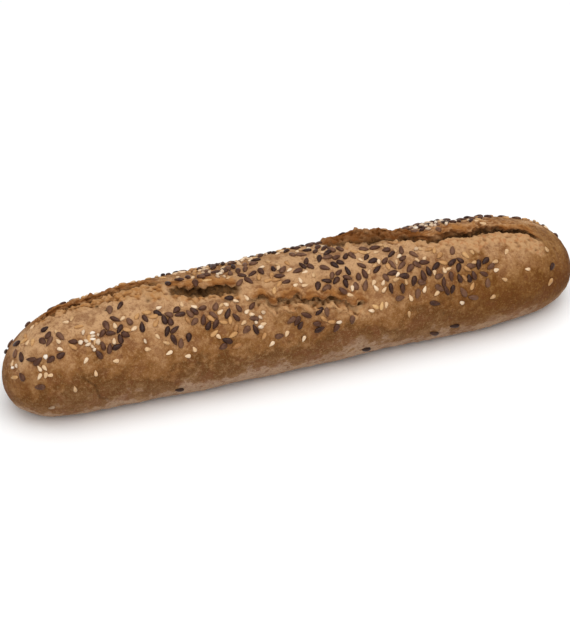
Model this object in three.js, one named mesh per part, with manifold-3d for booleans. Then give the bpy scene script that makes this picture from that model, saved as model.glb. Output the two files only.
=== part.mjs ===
// A small seeded brown baguette, in millimetres: +X along the loaf, -Y its front, +Z up.
// The origin is the middle of the flat base. One solid: the baked dough with its five torn
// splits, and the linseed, sesame and grain that stick to the top crust, fused to it.

import * as THREE from 'three';
import { mergeVertices } from 'three/addons/utils/BufferGeometryUtils.js';
import Module from 'manifold-3d';

// Loaf
const LENGTH = 285;
const WIDTH = 60;
const HEIGHT = 48.5;
const HALF_LENGTH = LENGTH / 2;
const WIDEST_HEIGHT = 21.5; // height of the widest line above the table
const BELLY_DEPTH = 27; // how far the round form would reach below the widest line
const FOOT_ROUNDING = 3; // the belly rolls into the flat base over this height
const CAP_SQUARENESS = 8; // how late the ends start to round off
const END_DROOP = { left: 5, right: 4.5 }; // how much lower the widest line lies at the tips
const END_LEAN = { left: 3, right: 2 }; // how far the tips lean to the front
const END_NARROWING = { left: 0.09, right: 0.11 };
const END_LOWERING = { left: 0.04, right: 0.02 };
const MEAN_RADIUS = 29; // turns widths on the crust into angles round the loaf

// Slow unevenness of the hand-shaped dough: height, waves along the loaf, waves round it, phase
const LUMPS = [
  { height: 0.3, along: 2.3, round: 1, phase: 0.6 },
  { height: 0.22, along: 4.3, round: 2, phase: 2.1 },
  { height: 0.14, along: 8.1, round: 3, phase: 4.0 },
];

// Low saddles on the crown, where one split ends and the next begins
const SADDLES = [
  { along: -97, round: -22, reach: 13, width: 22, depth: 1.2 },
  { along: 62, round: -30, reach: 8, width: 26, depth: 1.8 },
  { along: -22, round: 38, reach: 9, width: 16, depth: 0.9 },
  { along: 40, round: 52, reach: 13, width: 14, depth: 0.8 },
];

// The splits, left to right. The lip runs from one end to the other by three angles, in degrees
// from the crown, positive to the front, and bends later the larger bend is. It sways by some
// millimetres. Ear is the width of the flap behind the lip, which rises by lift and leans over by
// hang. In front of it lies a hollow of some width and depth: wall is 0 where that is deepest
// under the lip and 1 where the flap stands up as a wall. Apron is the width of the torn crumb,
// which swells by puff. Pairs are sizes at the start and at the end.
const SPLITS = [
  {
    from: -128, to: -60, lip: [-24, -25, -20], bend: 1, sway: 0.4, ear: 8, lift: 1.6, hang: 0.5,
    hollow: [3, 4], depth: 1.5, wall: [0.8, 0.4], apron: [5, 19], puff: 0.6,
  },
  {
    from: -62, to: -28, lip: [-5.5, 3.5, 9.5], bend: 1, sway: 0.6, ear: 11, lift: 1.5, hang: 1.4,
    hollow: [7.5, 7.5], depth: 4.6, wall: [0.1, 0.1], apron: [12, 10], puff: 0.5,
  },
  {
    from: -28, to: 30, lip: [27, 39, 56], bend: 1.2, sway: 1.8, ear: 8, lift: 1.4, hang: 0.8,
    hollow: [6, 5], depth: 2.0, wall: [0.1, 0.1], apron: [8, 7], puff: 0.9,
  },
  {
    from: 18, to: 66, lip: [-41, -31, -9], bend: 1.2, sway: 0.6, ear: 8, lift: 3.0, hang: 0.8,
    hollow: [13, 9], depth: 2.8, wall: [0.8, 0.9], apron: [18, 14], puff: 0.8,
  },
  {
    from: 56, to: 125, lip: [-11, 1, 24], bend: 3, sway: 0.5, ear: 14, lift: 2.3, hang: 1.8,
    hollow: [5, 2.8], depth: 3.0, wall: [0.9, 0.1], apron: [8, 18], puff: 0.9,
  },
];

// Section across a full split at places from the ear's back (-1) by the lip (0) to the hollow's
// front (1): the share of each size, first where the hollow lies under the lip, then for a wall
const FOLD = [
  { at: -1.0, ear: [-1, -1] },
  { at: -0.6, ear: [-0.6, -0.6], lift: [0.45, 0.4] },
  { at: -0.25, ear: [-0.22, -0.24], lift: [0.92, 0.85] },
  { at: -0.08, ear: [0, -0.06], lift: [1, 1], hang: [0.55, 0.3] },
  { at: 0.0, lift: [0.62, 0.9], hang: [1, 0.5] },
  { at: 0.1, lift: [0.12, 0.65], hang: [0.7, 0.4], hollow: [0, 0.06], depth: [0, -0.05] },
  { at: 0.22, lift: [0, 0.4], hang: [-0.25, 0.2], hollow: [0, 0.16], depth: [-0.5, -0.15] },
  { at: 0.4, lift: [0, 0.15], hang: [-0.1, 0.1], hollow: [0.1, 0.38], depth: [-1, -0.45] },
  { at: 0.62, hollow: [0.45, 0.62], depth: [-0.8, -0.9] },
  { at: 0.82, hollow: [0.75, 0.8], depth: [-0.3, -1] },
  { at: 0.93, hollow: [0.9, 0.92], depth: [-0.1, -0.45] },
  { at: 1.0, hollow: [1, 1] },
];
const FOLD_SIDEWAYS = ['ear', 'hang', 'hollow'];
const FOLD_UP = ['lift', 'depth'];

// Facets of the loaf: rows along it, columns round it, closer together across the splits
const ROWS = 78;
const COLUMNS = 34;
const PLAIN_SPACING = 7;
const FOLD_CROWDING = 9;
const FOLD_REACH = 5;
const CROWDING_EASE = 14;

// Toppings: true sizes, how many the loaf carries, every how many of them is fused here, the share
// that lies astray, how often one falls beside the one before, and the share of their width that
// two keep between them
const LINSEED = {
  length: 5.0, width: 2.7, thickness: 1.7, count: 320, every: 3, stray: 0.008, company: 0.4, clearance: 0.78,
};
const GOLDEN_LINSEED = {
  length: 4.3, width: 2.2, thickness: 1.4, count: 100, every: 6, stray: 0.015, company: 0.2, clearance: 0.7,
};
const SESAME = {
  length: 3.2, width: 1.9, thickness: 1.2, count: 190, every: 8, stray: 0.04, company: 0.3, clearance: 0.7,
};
const GRAIN = {
  length: 2.2, width: 1.9, thickness: 1.6, count: 60, every: 8, stray: 0.004, company: 0.5, clearance: 0.6,
};
const SEED_SIDES = 5;
const SEED_STANDS_PROUD = 0.14; // share of its thickness that a seed's middle lies above the crust
const SEED_DROP_HEIGHT = 6; // a seed falls onto the crust from here
const SEED_GRIP = 0.2; // share of a seed that must lie in the crust for it to hold
const TOPPED_ROUND = [-86, 82]; // degrees from the crown that the toppings reach
const TOPPED_END_MARGIN = 4;
const HANDFUL = 6; // how far a seed falls from the one before, when it keeps it company
const DICE_SEED = 20417;

// Where the toppings fell thickest: middle and reach along and round the loaf, and how thick
const DRIFTS = [
  { along: -134, round: 15, reach: 9, width: 34, share: 0.55 },
  { along: -121, round: 26, reach: 9, width: 22, share: 0.45 },
  { along: -94, round: 4, reach: 9, width: 6, share: 0.35 },
  { along: -91, round: 29, reach: 10, width: 12, share: 0.8 },
  { along: -99, round: 46, reach: 8, width: 7, share: 0.5 },
  { along: -68, round: 27, reach: 10, width: 9, share: 0.9 },
  { along: -67, round: 48, reach: 8, width: 8, share: 0.7 },
  { along: -51, round: 33, reach: 7, width: 7, share: 0.5 },
  { along: -37, round: 37, reach: 10, width: 8, share: 0.95 },
  { along: -33, round: 51, reach: 10, width: 10, share: 0.8 },
  { along: -38, round: -14, reach: 14, width: 10, share: 0.9 },
  { along: -15, round: 1, reach: 12, width: 13, share: 0.95 },
  { along: -4, round: 60, reach: 14, width: 10, share: 0.6 },
  { along: 15, round: -6, reach: 12, width: 14, share: 0.6 },
  { along: 2, round: 12, reach: 10, width: 10, share: 0.9 },
  { along: 31, round: 5, reach: 12, width: 12, share: 0.85 },
  { along: 30, round: 27, reach: 14, width: 12, share: 1.3 },
  { along: 29, round: 65, reach: 6, width: 6, share: 0.5 },
  { along: 51, round: 23, reach: 11, width: 10, share: 1.2 },
  { along: 46, round: 44, reach: 10, width: 10, share: 0.9 },
  { along: 67, round: 37, reach: 14, width: 9, share: 1.2 },
  { along: 70, round: 54, reach: 14, width: 9, share: 1.1 },
  { along: 86, round: 42, reach: 8, width: 8, share: 0.6 },
  { along: 78, round: -20, reach: 20, width: 10, share: 0.85 },
  { along: 108, round: -26, reach: 14, width: 12, share: 0.4 },
  { along: 131, round: -20, reach: 8, width: 20, share: 0.4 },
  { along: -50, round: -44, reach: 20, width: 14, share: 0.5 },
  { along: 5, round: -40, reach: 34, width: 20, share: 0.8 },
  { along: 70, round: -56, reach: 34, width: 16, share: 0.6 },
  { along: -100, round: -56, reach: 24, width: 16, share: 0.3 },
];

// Where the bits of grain fell, which lie in small heaps
const GRAIN_DRIFTS = [
  { along: -138, round: 25, reach: 3, width: 6, share: 1.0 },
  { along: -130, round: 11, reach: 2, width: 3, share: 0.3 },
  { along: -102, round: 38, reach: 4, width: 7, share: 1.0 },
  { along: -88, round: 26, reach: 3, width: 4, share: 0.5 },
  { along: -62, round: 34, reach: 6, width: 8, share: 0.25 },
  { along: -28, round: 51, reach: 4, width: 5, share: 0.7 },
  { along: -36, round: 22, reach: 4, width: 6, share: 0.9 },
  { along: -37, round: -8, reach: 5, width: 9, share: 0.9 },
  { along: 40, round: 20, reach: 9, width: 6, share: 0.3 },
  { along: 60, round: 16, reach: 6, width: 5, share: 0.25 },
  { along: 68, round: 43, reach: 4, width: 4, share: 0.5 },
  { along: 58, round: 60, reach: 3, width: 3, share: 0.4 },
  { along: 75, round: 77, reach: 2, width: 3, share: 0.9 },
  { along: 78, round: -20, reach: 26, width: 12, share: 0.25 },
  { along: 10, round: -34, reach: 30, width: 16, share: 0.25 },
];

// Seeds that landed by themselves low on the side, and single bits of grain
const SINGLES = [
  { kind: LINSEED, x: -129, angle: 70, turn: 0.1 },
  { kind: LINSEED, x: -65, angle: 114, turn: 0.3 },
  { kind: LINSEED, x: 27, angle: 112, turn: 0.4 },
  { kind: LINSEED, x: 62, angle: 112, turn: 0.5 },
  { kind: LINSEED, x: 72, angle: 106, turn: 0.2 },
  { kind: LINSEED, x: 81, angle: 74, turn: 0.3 },
  { kind: SESAME, x: -124, angle: 58, turn: 0.1 },
  { kind: SESAME, x: -125, angle: 104, turn: -0.4 },
  { kind: SESAME, x: -94, angle: 60, turn: 0.2 },
  { kind: SESAME, x: -69, angle: 64, turn: -0.3 },
  { kind: SESAME, x: -57, angle: 66, turn: 1.2 },
  { kind: SESAME, x: 91, angle: 78, turn: -0.4 },
  { kind: SESAME, x: 98, angle: 62, turn: 0.5 },
  { kind: SESAME, x: 124, angle: 36, turn: 1.1 },
  { kind: SESAME, x: 111, angle: 56, turn: 0.2 },
  { kind: GRAIN, x: 13, angle: 69, turn: 0 },
  { kind: GRAIN, x: -102, angle: 34, turn: 0.3 },
  { kind: GRAIN, x: -103, angle: 41, turn: 1.1 },
  { kind: GRAIN, x: -100, angle: 38, turn: 2.0 },
  { kind: GRAIN, x: -138, angle: 25, turn: 0.6 },
  { kind: GRAIN, x: -124, angle: 36, turn: 0.2 },
  { kind: GRAIN, x: -79, angle: 48, turn: 1.4 },
  { kind: GRAIN, x: -37, angle: -1, turn: 0.9 },
  { kind: GRAIN, x: 75, angle: 77, turn: 0.4 },
];

const radians = THREE.MathUtils.degToRad;
const degrees = THREE.MathUtils.radToDeg;
const clamp = THREE.MathUtils.clamp;

// The value that belongs to the end of the loaf on x's side.
function endValue(pair, x) {
  return x < 0 ? pair.left : pair.right;
}

// A bump of height 1 that falls away with distance in two directions.
function bump(x, angle, spot) {
  const along = (x - spot.along) / spot.reach;
  const round = (angle - spot.round) / spot.width;
  return Math.exp(-(along * along + round * round));
}

// Cross-section sizes of the unbroken loaf at x.
function sectionAt(x) {
  const share = Math.min(1, Math.abs(x) / HALF_LENGTH);
  const cap = Math.sqrt(Math.max(0, 1 - share ** CAP_SQUARENESS));
  const narrow = 1 - endValue(END_NARROWING, x) * share ** 2;
  const low = 1 - endValue(END_LOWERING, x) * share ** 2;
  return {
    cap,
    halfWidth: (WIDTH / 2) * narrow * cap,
    crown: (HEIGHT - WIDEST_HEIGHT) * low * cap,
    belly: BELLY_DEPTH * low * cap,
    middleY: -endValue(END_LEAN, x) * share ** 4,
    middleZ: WIDEST_HEIGHT - endValue(END_DROOP, x) * share ** 5,
  };
}

// Rolls a height near or below the table into the flat base.
function setDown(z) {
  if (z >= FOOT_ROUNDING) return z;
  if (z <= -FOOT_ROUNDING) return 0;
  return FOOT_ROUNDING * ((z + FOOT_ROUNDING) / (2 * FOOT_ROUNDING)) ** 2;
}

// How far the slow lumps and the saddles move the crust outwards at x and angle, in degrees.
function unevenness(x, angle) {
  const s = (x / HALF_LENGTH) * Math.PI;
  let out = 0;
  for (const lump of LUMPS) {
    out += lump.height * Math.sin(lump.along * s + lump.round * radians(angle) + lump.phase);
  }
  for (const saddle of SADDLES) out -= saddle.depth * bump(x, angle, saddle);
  return out * Math.sqrt(sectionAt(x).cap);
}

// A point at angle round the loaf, rise above its smooth skin, before the base is set down.
function skinPoint(x, angle, rise) {
  const section = sectionAt(x);
  const side = Math.sin(radians(angle));
  const up = Math.cos(radians(angle));
  const height = up > 0 ? section.crown : section.belly;
  const normal = new THREE.Vector2(-side / Math.max(section.halfWidth, 1e-3), up / Math.max(height, 1e-3));
  normal.normalize().multiplyScalar(rise);
  const y = section.middleY - section.halfWidth * side + normal.x;
  const z = section.middleZ + height * up + normal.y;
  return new THREE.Vector3(x, y, setDown(z));
}

// How far along a split x is, from 0 to 1.
function shareAlong(split, x) {
  return clamp((x - split.from) / (split.to - split.from), 0, 1);
}

// A size that changes from the split's start to its end.
function sizeAt(pair, split, x) {
  return pair[0] + (pair[1] - pair[0]) * shareAlong(split, x);
}

// How far open a split is at x, from 0 at its ends to 1.
function openness(split, x) {
  const share = shareAlong(split, x);
  return share <= 0 || share >= 1 ? 0 : Math.sin(Math.PI * share) ** 0.7;
}

// How strongly columns crowd to a split at x: it eases in well before the split opens.
function crowding(split, x) {
  const ease = (from, to) => THREE.MathUtils.smoothstep(x, Math.min(from, to), Math.max(from, to));
  return ease(split.from - CROWDING_EASE, split.from + CROWDING_EASE) *
    (1 - ease(split.to - CROWDING_EASE, split.to + CROWDING_EASE));
}

// The torn lip wanders from its line by this share of the split's sway.
function wander(x) {
  return 0.6 * Math.sin(0.37 * x + 0.4) + 0.4 * Math.sin(0.83 * x + 2.2);
}

// Angle of a split's lip at x, in degrees from the crown.
function lipAngle(split, x) {
  const [first, middle, last] = split.lip;
  const turn = 2 * shareAlong(split, x) - 1;
  const turned = middle + ((turn < 0 ? first : last) - middle) * Math.abs(turn) ** split.bend;
  return turned + degrees((split.sway * wander(x)) / MEAN_RADIUS);
}

// Smooth value at t through knots (places) and values, with Catmull-Rom slopes.
function through(knots, values, t) {
  let i = 0;
  while (i < knots.length - 2 && t > knots[i + 1]) i += 1;
  const slope = (k) => {
    const before = Math.max(0, k - 1);
    const after = Math.min(knots.length - 1, k + 1);
    return (values[after] - values[before]) / (knots[after] - knots[before]);
  };
  const step = knots[i + 1] - knots[i];
  const u = (t - knots[i]) / step;
  const blend = u * u * (3 - 2 * u);
  const fromFirst = step * slope(i) * u * (1 - u) ** 2;
  const fromSecond = step * slope(i + 1) * u * u * (u - 1);
  return values[i] + (values[i + 1] - values[i]) * blend + fromFirst + fromSecond;
}

const FOLD_KNOTS = FOLD.map((corner) => corner.at);

// One size's share at a place across the fold, part way from under the lip to a wall.
function foldShare(size, wall, at) {
  const values = FOLD.map((corner) => {
    const [under, standing] = corner[size] ?? [0, 0];
    return under + (standing - under) * wall;
  });
  return through(FOLD_KNOTS, values, at);
}

// A point of the crust with its splits, at x and an angle of the unbroken skin.
function crustPoint(x, angle) {
  let sideways = 0;
  let rise = unevenness(x, angle);
  for (const split of SPLITS) {
    const open = openness(split, x);
    if (open === 0) continue;
    const across = radians(angle - lipAngle(split, x)) * MEAN_RADIUS;
    const hollow = sizeAt(split.hollow, split, x);
    const pastHollow = (across - hollow) / (sizeAt(split.apron, split, x) - hollow);
    rise += open * split.puff * Math.sin(Math.PI * clamp(pastHollow, 0, 1));
    const at = across < 0 ? across / split.ear : across / hollow;
    if (at <= -1 || at >= 1) continue;
    const wall = sizeAt(split.wall, split, x);
    const sizes = { ...split, hollow };
    const moved = (names) => names.reduce((sum, size) => sum + sizes[size] * foldShare(size, wall, at), 0);
    sideways += open * (moved(FOLD_SIDEWAYS) - across);
    rise += open * moved(FOLD_UP);
  }
  return skinPoint(x, angle + degrees(sideways / MEAN_RADIUS), rise);
}

// Whether a place lies on torn crumb or in a hollow, where no topping fell.
function isTorn(x, angle) {
  return SPLITS.some((split) => {
    const across = radians(angle - lipAngle(split, x)) * MEAN_RADIUS;
    return openness(split, x) > 0.25 && across > -1.2 && across < 0.86 * sizeAt(split.apron, split, x);
  });
}

// Angles of one row's columns, crowded where splits are open, from the base round to the base.
function columnAngles(x) {
  const steps = 720;
  const crowd = [0];
  for (let i = 1; i <= steps; i += 1) {
    const angle = -180 + (360 * (i - 0.5)) / steps;
    let weight = 1;
    for (const split of SPLITS) {
      const across = radians(angle - lipAngle(split, x)) * MEAN_RADIUS - 1;
      weight += FOLD_CROWDING * crowding(split, x) * Math.exp(-((across / FOLD_REACH) ** 2));
    }
    crowd.push(crowd[i - 1] + weight / PLAIN_SPACING);
  }
  const angles = [];
  for (let column = 0, i = 0; column < COLUMNS; column += 1) {
    const wanted = (crowd[steps] * column) / COLUMNS;
    while (crowd[i + 1] <= wanted) i += 1;
    const part = (wanted - crowd[i]) / (crowd[i + 1] - crowd[i]);
    angles.push(-180 + (360 * (i + part)) / steps);
  }
  return angles;
}

// Places of the rows, evenly spaced along the loaf's outline as seen from above.
function rowPlaces() {
  const steps = 4000;
  const places = [];
  const run = [0];
  for (let i = 0; i <= steps; i += 1) places.push(-HALF_LENGTH * Math.cos((Math.PI * i) / steps));
  for (let i = 1; i <= steps; i += 1) {
    const wider = sectionAt(places[i]).halfWidth - sectionAt(places[i - 1]).halfWidth;
    run.push(run[i - 1] + Math.hypot(places[i] - places[i - 1], wider));
  }
  const rows = [];
  for (let row = 1, i = 0; row < ROWS; row += 1) {
    const wanted = (run[steps] * row) / ROWS;
    while (run[i + 1] < wanted) i += 1;
    rows.push(places[i]);
  }
  return rows;
}

// The baked dough as one closed geometry: rings of points between two tips.
function loafGeometry() {
  const rows = rowPlaces();
  const points = [crustPoint(-HALF_LENGTH, 0)];
  for (const x of rows) {
    for (const angle of columnAngles(x)) points.push(crustPoint(x, angle));
  }
  points.push(crustPoint(HALF_LENGTH, 0));
  const ring = (row, column) => 1 + row * COLUMNS + (column % COLUMNS);
  const faces = [];
  for (let column = 0; column < COLUMNS; column += 1) {
    faces.push(0, ring(0, column + 1), ring(0, column));
    for (let row = 0; row < rows.length - 1; row += 1) {
      const [a, b] = [ring(row, column), ring(row, column + 1)];
      const [c, d] = [ring(row + 1, column), ring(row + 1, column + 1)];
      faces.push(a, d, c, a, b, d);
    }
    const last = rows.length - 1;
    faces.push(points.length - 1, ring(last, column), ring(last, column + 1));
  }
  return new THREE.BufferGeometry().setFromPoints(points).setIndex(faces);
}

// A fixed sequence of numbers from 0 to 1.
function makeDice(seed) {
  let state = seed;
  return () => {
    state = (Math.imul(state, 1664525) + 1013904223) >>> 0;
    return state / 4294967296;
  };
}

// How thickly a kind of topping lies at a place, from 0 to 1.
function thickness(kind, x, angle) {
  const drifts = kind === GRAIN ? GRAIN_DRIFTS : DRIFTS;
  return drifts.reduce((sum, drift) => sum + drift.share * bump(x, angle, drift), kind.stray);
}

// Three points down the middle of a lying seed, on the unrolled crust.
function spineOf(seed) {
  const half = (seed.kind.length - seed.kind.width) / 2;
  return [-half, 0, half].map((d) => [seed.x + d * Math.cos(seed.turn), seed.across + d * Math.sin(seed.turn)]);
}

// Whether two lying seeds keep clear of each other.
function areClear(a, b) {
  const room = (Math.min(a.kind.clearance, b.kind.clearance) * (a.kind.width + b.kind.width)) / 2;
  if (Math.hypot(a.x - b.x, a.across - b.across) > room + a.kind.length) return true;
  return a.spine.every((p) => b.spine.every((q) => Math.hypot(p[0] - q[0], p[1] - q[1]) >= room));
}

// A seed that lies at a place on the crust.
function lyingSeed(kind, x, angle, turn) {
  const seed = { kind, x, angle, turn, across: radians(angle) * MEAN_RADIUS * sectionAt(x).cap };
  seed.spine = spineOf(seed);
  return seed;
}

// Strews one kind over the crust, clear of the torn crumb and of the seeds that already lie there.
function strew(kind, lying, dice) {
  const [first, last] = TOPPED_ROUND;
  const reach = HALF_LENGTH - TOPPED_END_MARGIN;
  const placed = lying.filter((seed) => seed.kind === kind);
  for (let tries = 0; placed.length < kind.count && tries < 60000; tries += 1) {
    let x = -reach + 2 * reach * dice();
    let angle = first + (last - first) * dice();
    const turn = Math.PI * 2 * dice();
    const luck = dice();
    if (placed.length > 0 && dice() < kind.company) {
      const near = placed[placed.length - 1];
      x = near.x + HANDFUL * (x / reach);
      angle = near.angle + degrees(HANDFUL / MEAN_RADIUS) * (angle / -first);
    }
    if (Math.abs(x) > reach || luck > thickness(kind, x, angle) || isTorn(x, angle)) continue;
    const seed = lyingSeed(kind, x, angle, turn);
    if (lying.every((other) => areClear(seed, other))) {
      placed.push(seed);
      lying.push(seed);
    }
  }
  return placed;
}

// A plump drop with one pointed end, lying along X, as few facets as keep its form.
function seedGeometry(kind) {
  const profile = [
    [0, -0.5],
    [0.82, -0.2],
    [0.94, 0.12],
    [0, 0.5],
  ].map(([radius, along]) => new THREE.Vector2(radius * 0.5, along));
  const drop = new THREE.LatheGeometry(profile, SEED_SIDES);
  drop.rotateZ(-Math.PI / 2);
  drop.scale(kind.length, kind.width, kind.thickness);
  return drop;
}

// Turns and carries a seed to its place, flat on the facet of the loaf that it fell on.
function seedPlace(seed, loaf) {
  const step = 0.6;
  const ahead = crustPoint(seed.x + step, seed.angle).sub(crustPoint(seed.x - step, seed.angle));
  const round = crustPoint(seed.x, seed.angle + step).sub(crustPoint(seed.x, seed.angle - step));
  const outward = new THREE.Vector3().crossVectors(round, ahead).normalize();
  const start = crustPoint(seed.x, seed.angle).addScaledVector(outward, SEED_DROP_HEIGHT);
  const [hit] = new THREE.Raycaster(start, outward.clone().negate()).intersectObject(loaf);
  const normal = hit.face.normal;
  const along = ahead.projectOnPlane(normal).normalize().applyAxisAngle(normal, -seed.turn);
  const side = new THREE.Vector3().crossVectors(normal, along);
  const place = hit.point.addScaledVector(normal, SEED_STANDS_PROUD * seed.kind.thickness);
  return new THREE.Matrix4().makeBasis(along, side, normal).setPosition(place);
}

const wasm = await Module();
wasm.setup();

// A closed geometry as a manifold-3d solid.
function solidOf(geometry) {
  const bare = geometry.clone().deleteAttribute('normal').deleteAttribute('uv');
  const merged = mergeVertices(bare, 1e-3);
  return new wasm.Manifold(
    new wasm.Mesh({
      numProp: 3,
      vertProperties: merged.attributes.position.array,
      triVerts: new Uint32Array(merged.index.array),
    }),
  );
}

// A manifold-3d solid back as a geometry.
function geometryOf(solid) {
  const { numProp, vertProperties, triVerts } = solid.getMesh();
  const positions = new Float32Array((vertProperties.length / numProp) * 3);
  for (let i = 0; i < positions.length / 3; i += 1) {
    positions.set(vertProperties.subarray(i * numProp, i * numProp + 3), i * 3);
  }
  const geometry = new THREE.BufferGeometry();
  geometry.setAttribute('position', new THREE.BufferAttribute(positions, 3));
  geometry.setIndex(new THREE.BufferAttribute(new Uint32Array(triVerts), 1));
  geometry.computeVertexNormals();
  return geometry;
}

// The loaf with its seeds fused on.
function seededLoaf() {
  const dice = makeDice(DICE_SEED);
  const lying = SINGLES.map(({ kind, x, angle, turn }) => lyingSeed(kind, x, angle, turn));
  const bare = new THREE.Mesh(loafGeometry());
  let loaf = solidOf(bare.geometry);
  for (const kind of [LINSEED, GOLDEN_LINSEED, SESAME, GRAIN]) {
    const seeds = strew(kind, lying, dice).filter((seed, i) => i % kind.every === 0);
    const drop = seedGeometry(kind);
    for (const seed of seeds) {
      const solid = solidOf(drop.clone().applyMatrix4(seedPlace(seed, bare)));
      if (loaf.intersect(solid).volume() > SEED_GRIP * solid.volume()) loaf = loaf.add(solid);
    }
  }
  return geometryOf(loaf);
}

const crust = new THREE.MeshStandardMaterial({ color: 0xb07c4a, roughness: 0.85, metalness: 0 });
const loaf = new THREE.Mesh(seededLoaf(), crust);
loaf.name = 'loaf';

const baguette = new THREE.Group();
baguette.add(loaf);

export default baguette;
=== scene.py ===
"""A small seeded brown baguette on a pale floor.

The loaf lies along X, its front faces -Y and it rests on z = 0. Sizes are in millimetres, and
angles round the loaf in degrees from the crown, positive to the front, until a mesh is made.
"""

from __future__ import annotations

import logging
import math
from dataclasses import dataclass, field
from enum import Enum

import bpy
import numpy as np
from mathutils import Matrix, Vector
from mathutils.bvhtree import BVHTree


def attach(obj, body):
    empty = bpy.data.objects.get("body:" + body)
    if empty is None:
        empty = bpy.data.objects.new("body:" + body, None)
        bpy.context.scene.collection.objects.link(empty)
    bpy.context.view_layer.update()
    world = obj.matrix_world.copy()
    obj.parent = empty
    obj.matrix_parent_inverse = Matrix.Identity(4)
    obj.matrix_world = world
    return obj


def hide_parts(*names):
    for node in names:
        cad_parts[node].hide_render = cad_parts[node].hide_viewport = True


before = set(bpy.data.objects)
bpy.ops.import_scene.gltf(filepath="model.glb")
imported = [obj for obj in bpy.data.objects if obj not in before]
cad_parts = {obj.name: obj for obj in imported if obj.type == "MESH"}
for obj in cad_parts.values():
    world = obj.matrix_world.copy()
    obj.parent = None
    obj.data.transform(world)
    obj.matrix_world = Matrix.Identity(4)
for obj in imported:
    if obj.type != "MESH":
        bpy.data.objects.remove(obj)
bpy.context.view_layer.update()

LOG = logging.getLogger("baguette")
MM = 0.001
BODY = "root"
NOISE_GAIN = 1.6

Array = np.ndarray
Colour = tuple[float, float, float, float]
Socket = bpy.types.NodeSocket


# Small helpers


def srgb(red: int, green: int, blue: int) -> Colour:
    """A colour of the screen, 0 to 255 a channel, as the linear colour that shaders take.

    Args:
        red: Its red.
        green: Its green.
        blue: Its blue.

    Returns:
        The linear colour, opaque.
    """

    def linear(channel: int) -> float:
        """One channel without the screen's curve."""
        share = channel / 255
        return share / 12.92 if share <= 0.04045 else ((share + 0.055) / 1.055) ** 2.4

    return (linear(red), linear(green), linear(blue), 1.0)


def ease(low: float, high: float, value: Array) -> Array:
    """Rises smoothly from 0 at low to 1 at high."""
    share = np.clip((value - low) / (high - low), 0.0, 1.0)
    return share * share * (3 - 2 * share)


def hashed(cells: Array, draw: int) -> Array:
    """A fixed number from 0 to 1 for each whole-number cell.

    Args:
        cells: Whole numbers, three in the last axis.
        draw: Which of the endless sets of numbers to take.

    Returns:
        One number a cell.
    """
    primes = (0x8DA6B343, 0xD8163841, 0xCB1AB31F)
    start = (draw * 0x9E3779B1 + 0x7F4A7C15) & 0xFFFFFFFF
    mixed = np.full(cells.shape[:-1], start, dtype=np.uint32)
    for axis, prime in enumerate(primes):
        mixed ^= cells[..., axis].astype(np.int64).astype(np.uint32) * np.uint32(prime)
        mixed ^= mixed >> np.uint32(15)
        mixed *= np.uint32(0x2C1B3C6D)
        mixed ^= mixed >> np.uint32(12)
    return mixed.astype(np.float64) / 0xFFFFFFFF


def noise(points: Array, size: float, draw: int) -> Array:
    """Smooth unevenness in space, about -1 to 1.

    Args:
        points: Places, three numbers each.
        size: How wide one swell is.
        draw: The set of random numbers.

    Returns:
        One height a place.
    """
    scaled = points / size
    corner = np.floor(scaled)
    inside = scaled - corner
    blend = inside**3 * (inside * (inside * 6 - 15) + 10)
    total = np.zeros(points.shape[:-1])
    for step in np.ndindex(2, 2, 2):
        offset = np.array(step)
        slopes = [hashed(corner + offset, draw * 3 + axis) * 2 - 1 for axis in range(3)]
        away = inside - offset
        height = sum(slopes[axis] * away[..., axis] for axis in range(3))
        weight = np.prod(np.where(offset, blend, 1 - blend), axis=-1)
        total += weight * height
    return np.clip(total * NOISE_GAIN, -1, 1)


def cell_depth(points: Array, size: float, draw: int) -> Array:
    """Distance to the nearest of the points strewn one a cell, in cell sizes.

    Args:
        points: Places, three numbers each.
        size: How wide one cell is.
        draw: The set of random numbers.

    Returns:
        One distance a place.
    """
    scaled = points / size
    corner = np.floor(scaled)
    nearest = np.full(points.shape[:-1], np.inf)
    for step in np.ndindex(3, 3, 3):
        cell = corner + np.array(step) - 1
        strewn = [cell[..., axis] + hashed(cell, draw * 5 + axis) for axis in range(3)]
        away = scaled - np.stack(strewn, axis=-1)
        nearest = np.minimum(nearest, np.linalg.norm(away, axis=-1))
    return nearest


@dataclass(frozen=True)
class Fade:
    """Turns a value into a share: least at low, most at high, smooth between, held beyond both."""

    low: float
    high: float
    least: float = 0.0
    most: float = 1.0

    def of(self, value: Array) -> Array:
        """The share at each value."""
        return self.least + (self.most - self.least) * ease(self.low, self.high, value)


@dataclass(frozen=True)
class Wave:
    """A layer of seeded unevenness: its height, the width of a swell and its set of numbers."""

    height: float
    size: float
    draw: int

    def at(self, points: Array) -> Array:
        """Its height at places in space."""
        return self.height * noise(points, self.size, self.draw)


@dataclass(frozen=True)
class Pits:
    """Small round pits strewn one a cell: cell size, set of numbers, depth and soft edge."""

    size: float
    draw: int
    depth: float
    edge: Fade

    def at(self, points: Array) -> Array:
        """Their depth at places in space, as a height below zero."""
        return -self.depth * (1 - self.edge.of(cell_depth(points, self.size, self.draw)))


# The form of the loaf


@dataclass(frozen=True)
class Ends:
    """A size that differs between the loaf's two ends."""

    left: float
    right: float

    def at(self, x: Array) -> Array:
        """The size on x's side of the middle."""
        return np.where(x < 0, self.left, self.right)


@dataclass(frozen=True)
class Spot:
    """A soft round place on the crust: its middle, its reach each way, and how strong it is."""

    along: float
    round: float
    reach: float
    width: float
    strength: float

    def at(self, x: Array, angle: Array) -> Array:
        """Its strength at a place, which falls away with distance.

        Args:
            x: Places along the loaf.
            angle: Degrees from the crown, positive to the front.

        Returns:
            The strengths.
        """
        return self.strength * np.exp(
            -(((x - self.along) / self.reach) ** 2) - ((angle - self.round) / self.width) ** 2
        )


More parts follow.
